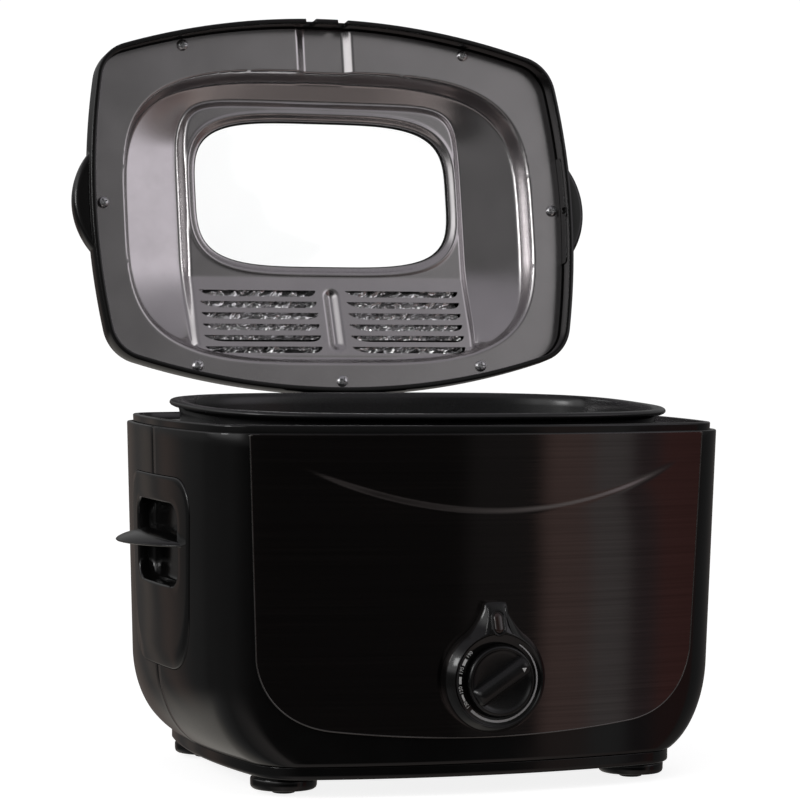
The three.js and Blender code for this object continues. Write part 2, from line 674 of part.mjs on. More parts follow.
piece('hinge_bracket', hingeBracket(), satinBlack, housing);
piece('hinge_pin', rod('x', PIN_RADIUS, -BRACKET_HALF + 1, BRACKET_HALF - 1, axisAt), brightSteel, housing);

// Drawn with the lid closed, in the lid's own frame: z = 0 is the flange's lower face.
const lidAxis = { y: HINGE_Y, z: HINGE_Z - FLANGE_Z };

function lidLug() {
  const barrel = toSolid(rod('x', KNUCKLE_RADIUS, -LUG_HALF, LUG_HALF, lidAxis, 24));
  const web = toSolid(boxAt(-LUG_HALF, LUG_HALF, LID_HALF_DEPTH - 4, LID_HALF_DEPTH + 9, lidAxis.z, 9));
  const bore = toSolid(rod('x', PIN_RADIUS + 0.08, -60, 60, lidAxis));
  return barrel.add(web).subtract(coverOuter(GAP)).subtract(bore);
}

// ---- Lid cover --------------------------------------------------------------------

const windowRing = (grow, z) => ovalRing(
  WINDOW_HALF_WIDTH + grow, WINDOW_HALF_DEPTH + grow, z, WINDOW_SQUARENESS, WINDOW_Y,
);
const lidRing = (inset, z) => planRing(
  LID_HALF_WIDTH - inset, LID_HALF_DEPTH - inset, Math.max(LID_CORNER - inset, 14), z,
);

// The outside of the cover as one block, from the lip up to the crown.
function coverOuter(out) {
  return toSolid(skin([
    lidRing(-out, -LIP_DROP - out),
    lidRing(-out, 1),
    lidRing(2.5 - out, 9),
    lidRing(9 - out, 18),
    lidRing(22 - out, 25.5 + out),
    lidRing(44 - out, COVER_CROWN - 1.5 + out),
    lidRing(70 - out, COVER_CROWN + out),
  ]));
}

function coverHollow() {
  return toSolid(skin([
    lidRing(LIP_WIDTH, -LIP_DROP - 1),
    lidRing(LIP_WIDTH - 1, LINER_SHEET + 0.4),
    lidRing(15, LINER_SHEET + 0.5),
    lidRing(15.5, 12),
    lidRing(30, 24.5),
    lidRing(46, COVER_CROWN - 1.5 - COVER_SHEET),
    lidRing(70, COVER_CROWN - COVER_SHEET),
  ]));
}

const screwSpots = [
  ['front_left', -108.4, -116.9], ['front_right', 108.4, -116.9],
  ['side_left', -172.4, -0.1], ['side_right', 172.4, -0.1],
  ['rear_left', -108.1, 117], ['rear_middle', 0, 128.2], ['rear_right', 108.1, 117],
];

function lidCover() {
  let solid = coverOuter(0);
  const earRadius = (EAR_CHORD_HALF ** 2 + EAR_REACH ** 2) / (2 * EAR_REACH);
  for (const side of [-1, 1]) {
    const x = side * (LID_HALF_WIDTH + EAR_REACH - earRadius);
    solid = solid.add(toSolid(rod('z', earRadius - 1.5, EAR_LOW, EAR_HIGH, { x }, 40, earRadius)));
  }
  solid = solid.subtract(coverHollow());
  solid = solid.subtract(toSolid(skin([windowRing(2, 20), windowRing(4, 40)])));
  solid = solid.subtract(toSolid(boxAt(
    -FILTER_HALF_WIDTH - GAP, FILTER_HALF_WIDTH + GAP, FILTER_Y - FILTER_HALF_DEPTH - GAP,
    FILTER_Y + FILTER_HALF_DEPTH + GAP, 15, 40,
  )));
  for (const x of [-NOTCH_X, NOTCH_X]) {
    const notch = boxAt(x - NOTCH_WIDTH / 2, x + NOTCH_WIDTH / 2, -150, -120, -20, -LIP_DROP + NOTCH_DEPTH);
    solid = solid.subtract(toSolid(notch));
  }
  for (const [, x, y] of screwSpots) {
    solid = solid.subtract(toSolid(rod('z', SCREW_SHANK + GAP, -2, 10, { x, y }, 10)));
  }
  return solid;
}

// ---- Lid liner --------------------------------------------------------------------

// Depth behind the flange of a line pressed deep at the window and shallow at the hinge.
function pressed([deep, shallow], y) {
  const t = Math.min(1, Math.max(0, (y - SLOPE_FRONT) / (SLOPE_REAR - SLOPE_FRONT)));
  return deep + (shallow - deep) * t;
}

// The outline of the raised frame, grown outwards, at a pressed depth.
function frameRing(grow, depth) {
  const middle = (FRAME_FRONT + FRAME_REAR) / 2;
  const halfDepth = (FRAME_REAR - FRAME_FRONT) / 2 + grow * 0.5;
  const ring = ovalRing(TRENCH_HALF - FRAME_WALL + grow, halfDepth, 0, FRAME_SQUARENESS, middle);
  ring.forEach((p) => { p.z = pressed(depth, p.y); });
  return ring;
}

function rimRing(inset, depth) {
  const ring = ovalRing(RIM_HALF_WIDTH - inset, RIM_HALF_DEPTH - inset, 0, RIM_SQUARENESS, RIM_Y);
  ring.forEach((p) => { p.z = pressed(depth, p.y); });
  return ring;
}

function lidLiner() {
  const lower = [
    lidRing(LINER_EDGE, 0),
    rimRing(0, [0, 0]),
    rimRing(RIM_WALL, RIM_DEPTH),
    frameRing(FRAME_WALL, TRENCH_DEPTH),
    frameRing(0, FRAME_DEPTH),
    windowRing(5, WINDOW_DEPTH - 1.6),
    windowRing(0, WINDOW_DEPTH),
  ];
  const upper = lower.map((ring) => ring.map((p) => new THREE.Vector3(p.x, p.y, p.z + LINER_SHEET)));
  let solid = toSolid(skin([...upper, ...lower.reverse()], true));
  const cutters = [];
  for (let row = 0; row < LOUVRE_ROWS; row += 1) {
    for (const side of [-1, 1]) {
      const x = side * LOUVRE_MIDDLE;
      const y = LOUVRE_FIRST + row * LOUVRE_PITCH;
      cutters.push(boxAt(
        x - LOUVRE_LENGTH / 2, x + LOUVRE_LENGTH / 2, y - LOUVRE_HEIGHT / 2, y + LOUVRE_HEIGHT / 2, 0.5, 40,
      ));
    }
  }
  for (const [, x, y] of screwSpots) cutters.push(rod('z', SCREW_SHANK + GAP, -3, 6, { x, y }, 10));
  for (const cutter of cutters) solid = solid.subtract(toSolid(cutter));
  return solid;
}

piece('lid_cover', lidCover(), glossBlack, lidParts);
piece('lid_liner', lidLiner(), satinSteel, lidParts);
piece('lid_hinge_lug', lidLug(), satinBlack, lidParts);

for (const [spot, x, y] of screwSpots) {
  const head = rod('z', SCREW_RADIUS - 1.4, -2.4, -GAP, {}, 12, SCREW_RADIUS);
  const shank = rod('z', SCREW_SHANK, -GAP - 0.1, 8, {}, 6);
  piece(`lid_screw_${spot}`, toSolid(head).add(toSolid(shank)), brightSteel, lidParts).position.set(x, y, 0);
}

// ---- Window -----------------------------------------------------------------------

const GASKET_BOTTOM = WINDOW_DEPTH + LINER_SHEET + GAP;
const GLASS_BOTTOM = GASKET_BOTTOM + GASKET_THICKNESS + GAP;
const GLASS_TOP = COVER_CROWN - COVER_SHEET - 3 * GAP;

piece('window_gasket', skin([
  windowRing(-1, GASKET_BOTTOM), windowRing(7, GASKET_BOTTOM),
  windowRing(7, GASKET_BOTTOM + GASKET_THICKNESS), windowRing(-1, GASKET_BOTTOM + GASKET_THICKNESS),
], true), rubber, lidParts);
piece('window_glass', skin([
  windowRing(7, GLASS_BOTTOM), windowRing(7, GLASS_TOP),
]), clearGlass, lidParts);

// ---- Filter -----------------------------------------------------------------------

const filterGroup = new THREE.Group();
filterGroup.position.y = FILTER_Y;
lidParts.add(filterGroup);

function filterCover() {
  const top = COVER_CROWN + 2.8;
  let solid = toSolid(boxAt(
    -FILTER_HALF_WIDTH, FILTER_HALF_WIDTH, -FILTER_HALF_DEPTH, FILTER_HALF_DEPTH, FILTER_SEAT + GAP, top,
  ));
  const flange = prism(roundedShape(FILTER_HALF_WIDTH + 5, FILTER_HALF_DEPTH + 4, 8), FILTER_FLANGE);
  flange.translate(0, 0, top - FILTER_FLANGE);
  solid = solid.add(toSolid(flange));
  solid = solid.subtract(toSolid(boxAt(
    -FILTER_HALF_WIDTH + FILTER_WALL, FILTER_HALF_WIDTH - FILTER_WALL,
    -FILTER_HALF_DEPTH + FILTER_WALL, FILTER_HALF_DEPTH - FILTER_WALL, 0, top - FILTER_FLANGE + 0.2,
  )));
  for (let row = -2; row <= 2; row += 1) {
    const y = row * 8.4;
    solid = solid.subtract(toSolid(boxAt(-80, -6, y - 1.5, y + 1.5, 0, 60)));
    solid = solid.subtract(toSolid(boxAt(6, 80, y - 1.5, y + 1.5, 0, 60)));
  }
  return solid;
}

// The filter pad lies on the sloping grille, so it is a wedge seen from the side.
function greaseFilter() {
  const reach = FILTER_HALF_DEPTH - 1;
  const grille = (y) => pressed(FRAME_DEPTH, FILTER_Y + y) + LINER_SHEET + 1.6;
  const side = new THREE.Shape();
  side.moveTo(-reach, grille(-reach));
  side.lineTo(reach, grille(reach));
  side.lineTo(reach, FILTER_SEAT);
  side.lineTo(-reach, FILTER_SEAT);
  return sidePrism(side, -FILTER_HALF_WIDTH + 4, FILTER_HALF_WIDTH - 4);
}

piece('filter_cover', filterCover(), satinBlack, filterGroup);
piece('grease_filter', greaseFilter(), brightSteel, filterGroup);

// ---- Bowl and basket, measured from the bowl's rim --------------------------------

const bowlRing = (inset, z) => ovalRing(BOWL_HALF_WIDTH - inset, BOWL_HALF_DEPTH - inset, z);

piece('bowl', skin([
  bowlRing(30, -BOWL_DEPTH),
  bowlRing(19, -BOWL_DEPTH + 4),
  bowlRing(14, -BOWL_DEPTH + 14),
  bowlRing(6.5, -9),
  bowlRing(5.5, -5),
  bowlRing(1, -4),
  bowlRing(0, -2.2),
  bowlRing(1.4, -0.5),
  bowlRing(4, 0),
  bowlRing(7, -1.4),
  bowlRing(8.4, -6),
  bowlRing(16, -BOWL_DEPTH + 15),
  bowlRing(20, -BOWL_DEPTH + 6.5),
  bowlRing(30, -BOWL_DEPTH + 2),
]), nonStick, bowlGroup);

const basketRing = (inset, z) => bowlRing(BASKET_INSET + inset, z);

piece('basket', skin([
  basketRing(13, BASKET_FLOOR),
  basketRing(5, BASKET_FLOOR + 7),
  basketRing(0, BASKET_TOP - 4),
  basketRing(-1, BASKET_TOP - 2),
  basketRing(0, BASKET_TOP),
  basketRing(2, BASKET_TOP - 1),
  basketRing(2.2, BASKET_TOP - 5),
  basketRing(7, BASKET_FLOOR + 8),
  basketRing(14, BASKET_FLOOR + 2),
]), brightSteel, bowlGroup);

const bracketBack = -(BOWL_HALF_DEPTH - BASKET_INSET) + 4.4;
piece('handle_bracket', boxAt(
  -22, 22, bracketBack, bracketBack + 3, HANDLE_PIVOT.y - 8, HANDLE_PIVOT.y + 5,
), brightSteel, bowlGroup);

// The handle is drawn swung out over the rim, then folded back into the basket.
const handle = new THREE.Group();
handle.position.set(0, HANDLE_PIVOT.x, HANDLE_PIVOT.y);
handle.rotation.x = -HANDLE_FOLD;
bowlGroup.add(handle);

for (const [side, sign] of [['left', -1], ['right', 1]]) {
  const path = new THREE.CatmullRomCurve3([
    new THREE.Vector3(sign * 18, 1, 0),
    new THREE.Vector3(sign * 18, -4, 13),
    new THREE.Vector3(sign * 17, -14, 27),
    new THREE.Vector3(sign * 14, -32, GRIP_Z - 1),
    new THREE.Vector3(sign * NOTCH_X, GRIP_START + 0.5, GRIP_Z),
  ], false, 'centripetal');
  const section = new THREE.Shape().absarc(0, 0, WIRE_RADIUS, 0, 2 * Math.PI);
  const wire = new THREE.ExtrudeGeometry(section, { steps: 12, curveSegments: 4, extrudePath: path });
  piece(`handle_wire_${side}`, wire, brightSteel, handle);
}

const grip = prism(roundedShape(GRIP_HALF_WIDTH, 7, 6), GRIP_START - GRIP_END, forwards, 3);
grip.translate(0, GRIP_START, GRIP_Z);
piece('handle_grip', grip, satinBlack, handle);

// ---- Origin at the bottom centre of the whole object ------------------------------

fryer.updateMatrixWorld(true);
const extent = new THREE.Box3().setFromObject(fryer, true);
fryer.position.y = -(extent.min.y + extent.max.y) / 2;

export default fryer;
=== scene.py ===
import json
import math
from functools import partial

import bpy
import numpy as np
from mathutils import Matrix, Vector, noise


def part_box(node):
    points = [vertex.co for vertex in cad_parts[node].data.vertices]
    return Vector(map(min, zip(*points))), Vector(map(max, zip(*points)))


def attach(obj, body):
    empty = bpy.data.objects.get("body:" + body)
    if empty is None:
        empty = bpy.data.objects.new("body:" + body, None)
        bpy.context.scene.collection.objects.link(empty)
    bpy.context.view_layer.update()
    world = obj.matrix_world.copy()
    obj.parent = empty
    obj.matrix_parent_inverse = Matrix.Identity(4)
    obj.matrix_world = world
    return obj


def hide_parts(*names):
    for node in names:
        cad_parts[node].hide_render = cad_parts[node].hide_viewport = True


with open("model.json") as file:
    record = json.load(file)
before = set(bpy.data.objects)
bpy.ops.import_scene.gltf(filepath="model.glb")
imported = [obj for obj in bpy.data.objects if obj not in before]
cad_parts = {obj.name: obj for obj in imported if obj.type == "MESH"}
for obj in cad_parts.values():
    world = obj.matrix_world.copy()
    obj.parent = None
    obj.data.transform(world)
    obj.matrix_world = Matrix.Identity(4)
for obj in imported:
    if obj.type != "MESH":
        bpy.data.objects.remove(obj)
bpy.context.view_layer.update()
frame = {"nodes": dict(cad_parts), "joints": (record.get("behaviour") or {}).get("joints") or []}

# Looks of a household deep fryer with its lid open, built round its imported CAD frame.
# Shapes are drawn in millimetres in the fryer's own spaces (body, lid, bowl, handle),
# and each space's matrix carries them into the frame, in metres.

scene = bpy.context.scene
MM = 0.001


def middle(node):
    low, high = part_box(node)
    return (low + high) / 2


def span(node):
    low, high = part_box(node)
    return high - low


# ---- Driving dimensions, millimetres ------------------------------------------------

# Body: heights are from the floor; the belly is the lower wall's inward curl.
BODY_HALF_WIDTH, BODY_HALF_DEPTH, BODY_CORNER = 186, 139, 32
BODY_TOP, BODY_BOTTOM, BODY_TAPER, BODY_WALL = 231.4, 20.4, 0.03, 3
FRONT_ARC, SIDE_ARC = 525, 515
BELLY_TOP, BELLY_FLOOR, BELLY_WIDTH = 76, 16.5, 41
BASE_BOTTOM = 12
COLLAR_INSET, COLLAR_TOP, COLLAR_FOOT, DECK_TOP = 4, 236.4, 219, 232
GLAND_X, GLAND_Z = 95, 48

# Front panel with its pressed crease, dial and indicator.
PANEL_TOP, PANEL_HALF_TOP, PANEL_PROUD = 230.6, 156.5, 1.4
CREASE_LOW, CREASE_BEND, CREASE_HALF, CREASE_FADE, CREASE_HEIGHT = 181.5, 0.0017, 152, 70, 0.8
KNOB_Z, KNOB_RADIUS, KNOB_TURN = 75.2, 22.3, 33
BEZEL_RADIUS, BEZEL_TIP_Z, BEZEL_TIP_HALF = 34.5, 124.5, 7.5
BEZEL_FACE, BEZEL_RIM, BEZEL_FACE_RADIUS = 149.5, 143, 30
DIAL_RADIUS = 26.2
LENS_Z, LENS_HALF_WIDTH, LENS_HALF_HEIGHT, LENS_STEM = 111.5, 3.2, 6.5, 2.6

# Side inserts, their pockets and fins.
INSERT_TOP, INSERT_BOTTOM, INSERT_HALF = 200, 75, 66
POCKET_TOP, POCKET_BOTTOM, POCKET_HALF, POCKET_FLOOR = 182.5, 129, 45, 170.5
FIN_Z, FIN_TIP, FIN_HALF = 158.8, 208, 55

# Hinge and lid; the lid's own heights are from its flange, with the lid closed.
HINGE_Y, HINGE_Z, KNUCKLE, PIN = 142.4, 243.5, 4.8, 2.2
LUG_HALF, BRACKET_HALF = 29.5, 46
LID_HALF_WIDTH, LID_HALF_DEPTH, LID_CORNER = 184.1, 137.8, 30
FLANGE_Z, LIP_DROP, LIP_WIDTH = 252, 13, 4
EAR_CHORD, EAR_REACH, EAR_HEIGHT = 33, 11, 7
NOTCHES, NOTCH_WIDTH, NOTCH_TOP = (-13.6, 11), 8, -4
WINDOW_Y, WINDOW_HALF_WIDTH, WINDOW_HALF_DEPTH, WINDOW_SQUARENESS = -14, 98, 54.5, 3.9
FILTER_Y, FILTER_HALF_WIDTH, FILTER_HALF_DEPTH, FILTER_TOP = 73, 100, 24, 33.8
FOIL_HALF, FOIL_TOP = 98, 26.2

# Pressed liner: a dish with a raised frame in it; depths run from full to the hinge's end.
LINER_SHEET, LINER_EDGE = 1.2, 4.6
DISH_HALF, DISH_FRONT, DISH_REAR, DISH_SQUARENESS = 156, -101, 115, 3.6
FRAME_HALF, FRAME_FRONT, FRAME_REAR = 110, -83.2, 119
RIM_DEPTH, TRENCH_DEPTH, FRAME_DEPTH = (15.5, 4), (25.5, 8.5), (18.5, 5)
SLOPE_FRONT, SLOPE_REAR = 48, 108
TRENCH_RISE, RISE_END = 4.8, -45
WINDOW_DEPTH = 20.5
RECESS_INNER, RECESS_OUTER, RECESS_DEPTH = 15, 21.5, 4
SLOT_ROWS = [60.5 + 8.6 * row for row in range(6)]
SLOT_MIDDLE, SLOT_HALF = 55.6, 44
BEAD_Y, BEAD_REACH, BEAD_HALF, BEAD_DEPTH = 81, 18, 6, 3

# Bowl and basket; their own heights are from the bowl's rim.
BOWL_RIM_Z, BOWL_TILT = 246.4, 1.7
BOWL_DEPTH, BOWL_HALF_WIDTH, BOWL_HALF_DEPTH, BOWL_SQUARENESS = 125, 164.6, 115, 3
BASKET_INSET, BASKET_TOP, BASKET_FLOOR = 17, -14, -108
WIRE_PITCH, WIRE_RADIUS = 8.4, 0.65
HANDLE_FOLD = 170

# ---- Spaces -------------------------------------------------------------------------

lid_joint = next(joint for joint in frame["joints"] if joint["name"] == "lid_hinge")
LID_OPEN = max(abs(limit) for limit in lid_joint["range_deg"])


def turned(degrees, axis="X"):
    return Matrix.Rotation(math.radians(degrees), 4, axis)


def shifted(x, y, z):
    return Matrix.Translation((x, y, z))


BODY = shifted(0, middle("base_plate").y, 0) @ Matrix.Scale(MM, 4)
LID = (BODY @ shifted(0, HINGE_Y, HINGE_Z) @ turned(-LID_OPEN)
       @ shifted(0, -HINGE_Y, FLANGE_Z - HINGE_Z))
BOWL = BODY @ shifted(0, 0, BOWL_RIM_Z) @ turned(BOWL_TILT)
HANDLE = BOWL @ shifted(0, -88, -22) @ turned(-HANDLE_FOLD)
FRONT = BODY @ turned(90)       # x right, y up, z towards the viewer

# ---- Camera -------------------------------------------------------------------------

CAMERA_AZIMUTH, CAMERA_ELEVATION, CAMERA_ROLL = -20.49, 1.83, 0.52
CAMERA_TARGET = Vector((-12.93, 0, 248.02))
CAMERA_DISTANCE = 2141.56
CAMERA_LENS = 142.88            # on the 36 mm sensor


def make_camera():
    a, e, r = (math.radians(v) for v in (CAMERA_AZIMUTH, CAMERA_ELEVATION, CAMERA_ROLL))
    back = Vector((math.sin(a) * math.cos(e), -math.cos(a) * math.cos(e), math.sin(e)))
    right = Vector((math.cos(a), math.sin(a), 0))
    up = back.cross(right)
    data = bpy.data.cameras.new("camera")
    data.lens, data.sensor_width = CAMERA_LENS, 36
    data.clip_start, data.clip_end = 0.1, 50
    camera = bpy.data.objects.new("camera", data)
    scene.collection.objects.link(camera)
    side = math.cos(r) * right + math.sin(r) * up
    top = -math.sin(r) * right + math.cos(r) * up
    matrix = Matrix((side, top, back)).transposed().to_4x4()
    matrix.translation = BODY @ (CAMERA_TARGET + back * CAMERA_DISTANCE)
    camera.matrix_world = matrix
    scene.camera = camera


make_camera()

# ---- Materials ----------------------------------------------------------------------


def add_node(tree, kind, inputs=None, **settings):
    """A shader node with its settings made and its sockets set or linked."""
    made = tree.nodes.new(kind)
    for name, value in settings.items():
        setattr(made, name, value)
    for socket, value in (inputs or {}).items():
        if isinstance(value, bpy.types.NodeSocket):
            tree.links.new(value, made.inputs[socket])
        else:
            made.inputs[socket].default_value = value
    return made


class Look:
    """A Principled material with helpers for its procedural detail, in object space."""

    def __init__(self, name, color, roughness, metallic=0.0, **sockets):
        self.material = bpy.data.materials.new(name)
        self.material.use_nodes = True
        self.tree = self.material.node_tree
        self.shader = self.tree.nodes["Principled BSDF"]
        self.color = color
        self.shader.inputs["Base Color"].default_value = (*color, 1)
        self.shader.inputs["Roughness"].default_value = roughness
        self.shader.inputs["Metallic"].default_value = metallic
        for socket, value in sockets.items():
            self.shader.inputs[socket.replace("_", " ")].default_value = value
        self.node = partial(add_node, self.tree)
        self.place = self.node("ShaderNodeTexCoord").outputs["Object"]

    def grain(self, scale, stretch=(1, 1, 1), detail=3.0):
        place = self.node("ShaderNodeMapping", {"Vector": self.place, "Scale": stretch})
        fog = self.node("ShaderNodeTexNoise", {
            "Vector": place.outputs[0], "Scale": scale, "Detail": detail, "Roughness": 0.6})
        return fog.outputs[0]

    def ranged(self, value, low, high):
        spread = self.node("ShaderNodeMapRange", {
            "Value": value, "From Min": 0.3, "From Max": 0.7, "To Min": low, "To Max": high})
        return spread.outputs[0]

    def roughness(self, value, low, high):
        self.tree.links.new(self.ranged(value, low, high), self.shader.inputs["Roughness"])
        return self

    def tint(self, value, amount, color=None):
        dark = [c * (1 - amount) for c in self.color]
        light = color or [min(1.0, c * (1 + amount)) for c in self.color]
        mix = self.node("ShaderNodeMix", {
            0: self.ranged(value, 0, 1), 6: (*dark, 1), 7: (*light, 1)}, data_type="RGBA")
        self.tree.links.new(mix.outputs[2], self.shader.inputs["Base Color"])
        return self

    def relief(self, value, strength, depth, edge=0.0):
        bump = self.node("ShaderNodeBump", {
            "Height": value, "Strength": strength, "Distance": depth * MM})
        if edge:
            rounded = self.node("ShaderNodeBevel", {"Radius": edge * MM}, samples=4)
            self.tree.links.new(rounded.outputs[0], bump.inputs["Normal"])
        self.tree.links.new(bump.outputs[0], self.shader.inputs["Normal"])
        return self


def gloss_black():
    look = Look("gloss_black_plastic", (0.0045, 0.0043, 0.0043), 0.12, IOR=1.5)
    look.roughness(look.grain(34, detail=6), 0.07, 0.15)
    look.tint(look.grain(9), 0.25)
    return look.relief(look.grain(240, detail=2), 0.035, 0.06, edge=0.4).material


def satin_black(name="satin_black_plastic", color=(0.013, 0.013, 0.0135)):
    look = Look(name, color, 0.45, IOR=1.48)
    look.roughness(look.grain(55, detail=5), 0.36, 0.52)
    look.tint(look.grain(14), 0.2)
    return look.relief(look.grain(2600, detail=2), 0.16, 0.05, edge=0.35).material


def black_brushed():
    look = Look("black_brushed_steel", (0.135, 0.118, 0.115), 0.1, 1.0)
    strokes = look.grain(1.0, stretch=(9, 9, 2600), detail=4)
    look.roughness(look.grain(1.0, stretch=(6, 6, 900), detail=3), 0.07, 0.13)
    look.tint(look.grain(1.0, stretch=(5, 5, 700), detail=2), 0.12)
    return look.relief(strokes, 0.1, 0.06, edge=0.3).material


def satin_steel():
    look = Look("satin_stainless", (0.56, 0.538, 0.545), 0.34, 1.0)
    sheen = look.grain(1.0, stretch=(900, 26, 26), detail=4)
    look.roughness(look.grain(30, detail=6), 0.19, 0.27)
    look.tint(look.grain(17, detail=5), 0.06)
    return look.relief(sheen, 0.04, 0.05).material


def bright_steel(name="bright_steel", low=0.12, high=0.28, color=(0.72, 0.72, 0.73)):
    look = Look(name, color, 0.2, 1.0)
    look.roughness(look.grain(120, detail=6), low, high)
    look.tint(look.grain(40), 0.1)
    return look.relief(look.grain(700, detail=3), 0.06, 0.05).material


def filter_foil():
    look = Look("grease_filter_foil", (0.93, 0.93, 0.94), 0.1, 0.85)
    look.roughness(look.grain(140, detail=5), 0.06, 0.2)
    look.tint(look.grain(110, detail=3), 0.5)
    return look.relief(look.grain(420, detail=3), 0.3, 0.4).material


def nonstick():
    look = Look("nonstick_black", (0.011, 0.011, 0.0115), 0.4, IOR=1.5)
    speck = look.grain(1900, detail=2)
    look.roughness(look.grain(48, detail=6), 0.17, 0.28)
    look.tint(speck, 0.5)
    return look.relief(speck, 0.12, 0.05).material


def knob_black():
    look = Look("knob_black_plastic", (0.0045, 0.0045, 0.0047), 0.25, IOR=1.48)
    look.roughness(look.grain(60, detail=5), 0.2, 0.3)
    look.tint(look.grain(30), 0.25)
    return look.relief(look.grain(1800, detail=2), 0.06, 0.04, edge=0.3).material


def rubber():
    look = Look("black_rubber", (0.012, 0.012, 0.012), 0.8, IOR=1.5)
    look.roughness(look.grain(70, detail=4), 0.7, 0.9)
    look.tint(look.grain(30), 0.3)
    return look.relief(look.grain(1500), 0.2, 0.08, edge=0.3).material


def clear_glass():
    look = Look("clear_glass", (0.995, 1.0, 1.0), 0.0, IOR=1.45, Transmission_Weight=1.0)
    look.roughness(look.grain(18, detail=5), 0.0, 0.004)
    return look.material


def dark_lens():
    look = Look("indicator_lens_dark", (0.02, 0.008, 0.006), 0.1, IOR=1.49, Coat_Weight=0.6)
    look.roughness(look.grain(240), 0.06, 0.13)
    look.tint(look.grain(160), 0.35)
    return look.material


def cast_aluminium():
    look = Look("cast_aluminium", (0.42, 0.42, 0.43), 0.5, 1.0)
    look.roughness(look.grain(160, detail=5), 0.42, 0.62)
    look.tint(look.grain(60, detail=5), 0.2)
    return look.relief(look.grain(900, detail=4), 0.35, 0.15, edge=0.5).material


def ceramic():
    look = Look("cream_ceramic", (0.6, 0.56, 0.46), 0.55, IOR=1.52)
    look.roughness(look.grain(90), 0.45, 0.65)
    look.tint(look.grain(300, detail=5), 0.08)
    return look.relief(look.grain(1200), 0.2, 0.06, edge=0.4).material


def printed(name, color, roughness, metallic=0.0):
    look = Look(name, color, roughness, metallic)
    look.roughness(look.grain(900), roughness * 0.8, roughness * 1.25)
    look.tint(look.grain(1600, detail=4), 0.12)
    return look.material


GLOSS = gloss_black()
SATIN = satin_black()
GRIP = satin_black("handle_black_plastic", (0.011, 0.011, 0.0115))
BRUSHED = black_brushed()
LINER = satin_steel()
BRIGHT = bright_steel()
EDGE = bright_steel("panel_edge_steel", 0.22, 0.36, (0.17, 0.165, 0.16))
SCREW = bright_steel("screw_steel", 0.2, 0.34, (0.6, 0.6, 0.61))
FOIL = filter_foil()
NONSTICK = nonstick()
KNOB_BLACK = knob_black()
RUBBER = rubber()
GLASS = clear_glass()
LENS = dark_lens()
CAST = cast_aluminium()
CERAMIC = ceramic()
WHITE_INK = printed("dial_white_ink", (0.72, 0.73, 0.72), 0.45)
SILVER_INK = printed("dial_silver_ink", (0.55, 0.56, 0.57), 0.35, 0.2)

# ---- Shape tools --------------------------------------------------------------------


def smooth(low, high, value):
    t = np.clip((value - low) / (high - low), 0, 1)
    return t * t * (3 - 2 * t)


def arc(cx, cy, radius, start, end, steps):
    t = np.linspace(start, end, steps + 1)
    return np.column_stack([cx + radius * np.cos(t), cy + radius * np.sin(t)])


def curve(*points, steps=12):
    """Points along a Bezier curve of any degree, both ends included."""
    t = np.linspace(0, 1, steps + 1)[:, None]
    points = [np.array(p, float) for p in points]
    while len(points) > 1:
        points = [a * (1 - t) + b * t for a, b in zip(points, points[1:])]
    return points[0]


def corner_centre(half_width, half_depth, corner):
    """Centre of the round that touches the front arc and the side arc from inside."""
    front_y, side_x = half_depth - FRONT_ARC, half_width - SIDE_ARC
    reach_front, reach_side = FRONT_ARC - corner, SIDE_ARC - corner
    gap = np.hypot(side_x, front_y)
    along = (reach_front ** 2 - reach_side ** 2 + gap ** 2) / (2 * gap)
    across = np.sqrt(reach_front ** 2 - along ** 2)
    ux, uy = side_x / gap, -front_y / gap
    return along * ux + across * uy, front_y + along * uy - across * ux


def plan(half_width, half_depth, corner, steps=(14, 12, 20)):
    """The body's outline from above: shallow arcs joined by rounded corners."""
    cx, cy = corner_centre(half_width, half_depth, corner)
    front_y, side_x = half_depth - FRONT_ARC, half_width - SIDE_ARC
    side_end = math.atan2(cy, cx - side_x)
    front_end = math.atan2(cy - front_y, cx)
    quarter = np.vstack([
        arc(side_x, 0, SIDE_ARC, 0, side_end, steps[0])[:-1],
        arc(cx, cy, corner, side_end, front_end, steps[1])[:-1],
        arc(0, front_y, FRONT_ARC, front_end, math.pi / 2, steps[2])])
    quarter[-1, 0] = 0
    return np.vstack([
        quarter[:-1], (quarter * (-1, 1))[::-1][:-1],
        (quarter * (-1, -1))[:-1], (quarter * (1, -1))[::-1][:-1]])


ANGLES = np.arctan2(*plan(BODY_HALF_WIDTH, BODY_HALF_DEPTH, BODY_CORNER).T[::-1])


def oval(half_width, half_depth, exponent=BOWL_SQUARENESS, shift=0.0):
    c, s = np.cos(ANGLES), np.sin(ANGLES)
    total = np.abs(c / half_width) ** exponent + np.abs(s / half_depth) ** exponent
    radius = total ** (-1 / exponent)
    return np.column_stack([radius * c, radius * s + shift])


def at(points, z):
    return np.column_stack([points, np.full(len(points), z)])


def body_half_width(z):
    curl = np.clip((BELLY_TOP - z) / (BELLY_TOP - BELLY_FLOOR), 0, 1)
    return (BODY_HALF_WIDTH - (BODY_TOP - z) * BODY_TAPER
            - BELLY_WIDTH * (1 - np.sqrt(1 - curl ** 2)))


def body_half_depth(z):
    return BODY_HALF_DEPTH - (BODY_TOP - z) * BODY_TAPER


def front_face(x, z, out):
    """How far the body's front stands forward of its middle, at x and height z."""
    half_width, half_depth = body_half_width(z) + out, body_half_depth(z) + out
    cx, cy = corner_centre(half_width, half_depth, BODY_CORNER + out)
    front_y = half_depth - FRONT_ARC
    turn = cx * FRONT_ARC / (FRONT_ARC - BODY_CORNER - out)
    on_arc = front_y + np.sqrt(FRONT_ARC ** 2 - x ** 2)
    on_corner = cy + np.sqrt(np.maximum((BODY_CORNER + out) ** 2 - (np.abs(x) - cx) ** 2, 0))
    return np.where(np.abs(x) < turn, on_arc, on_corner)


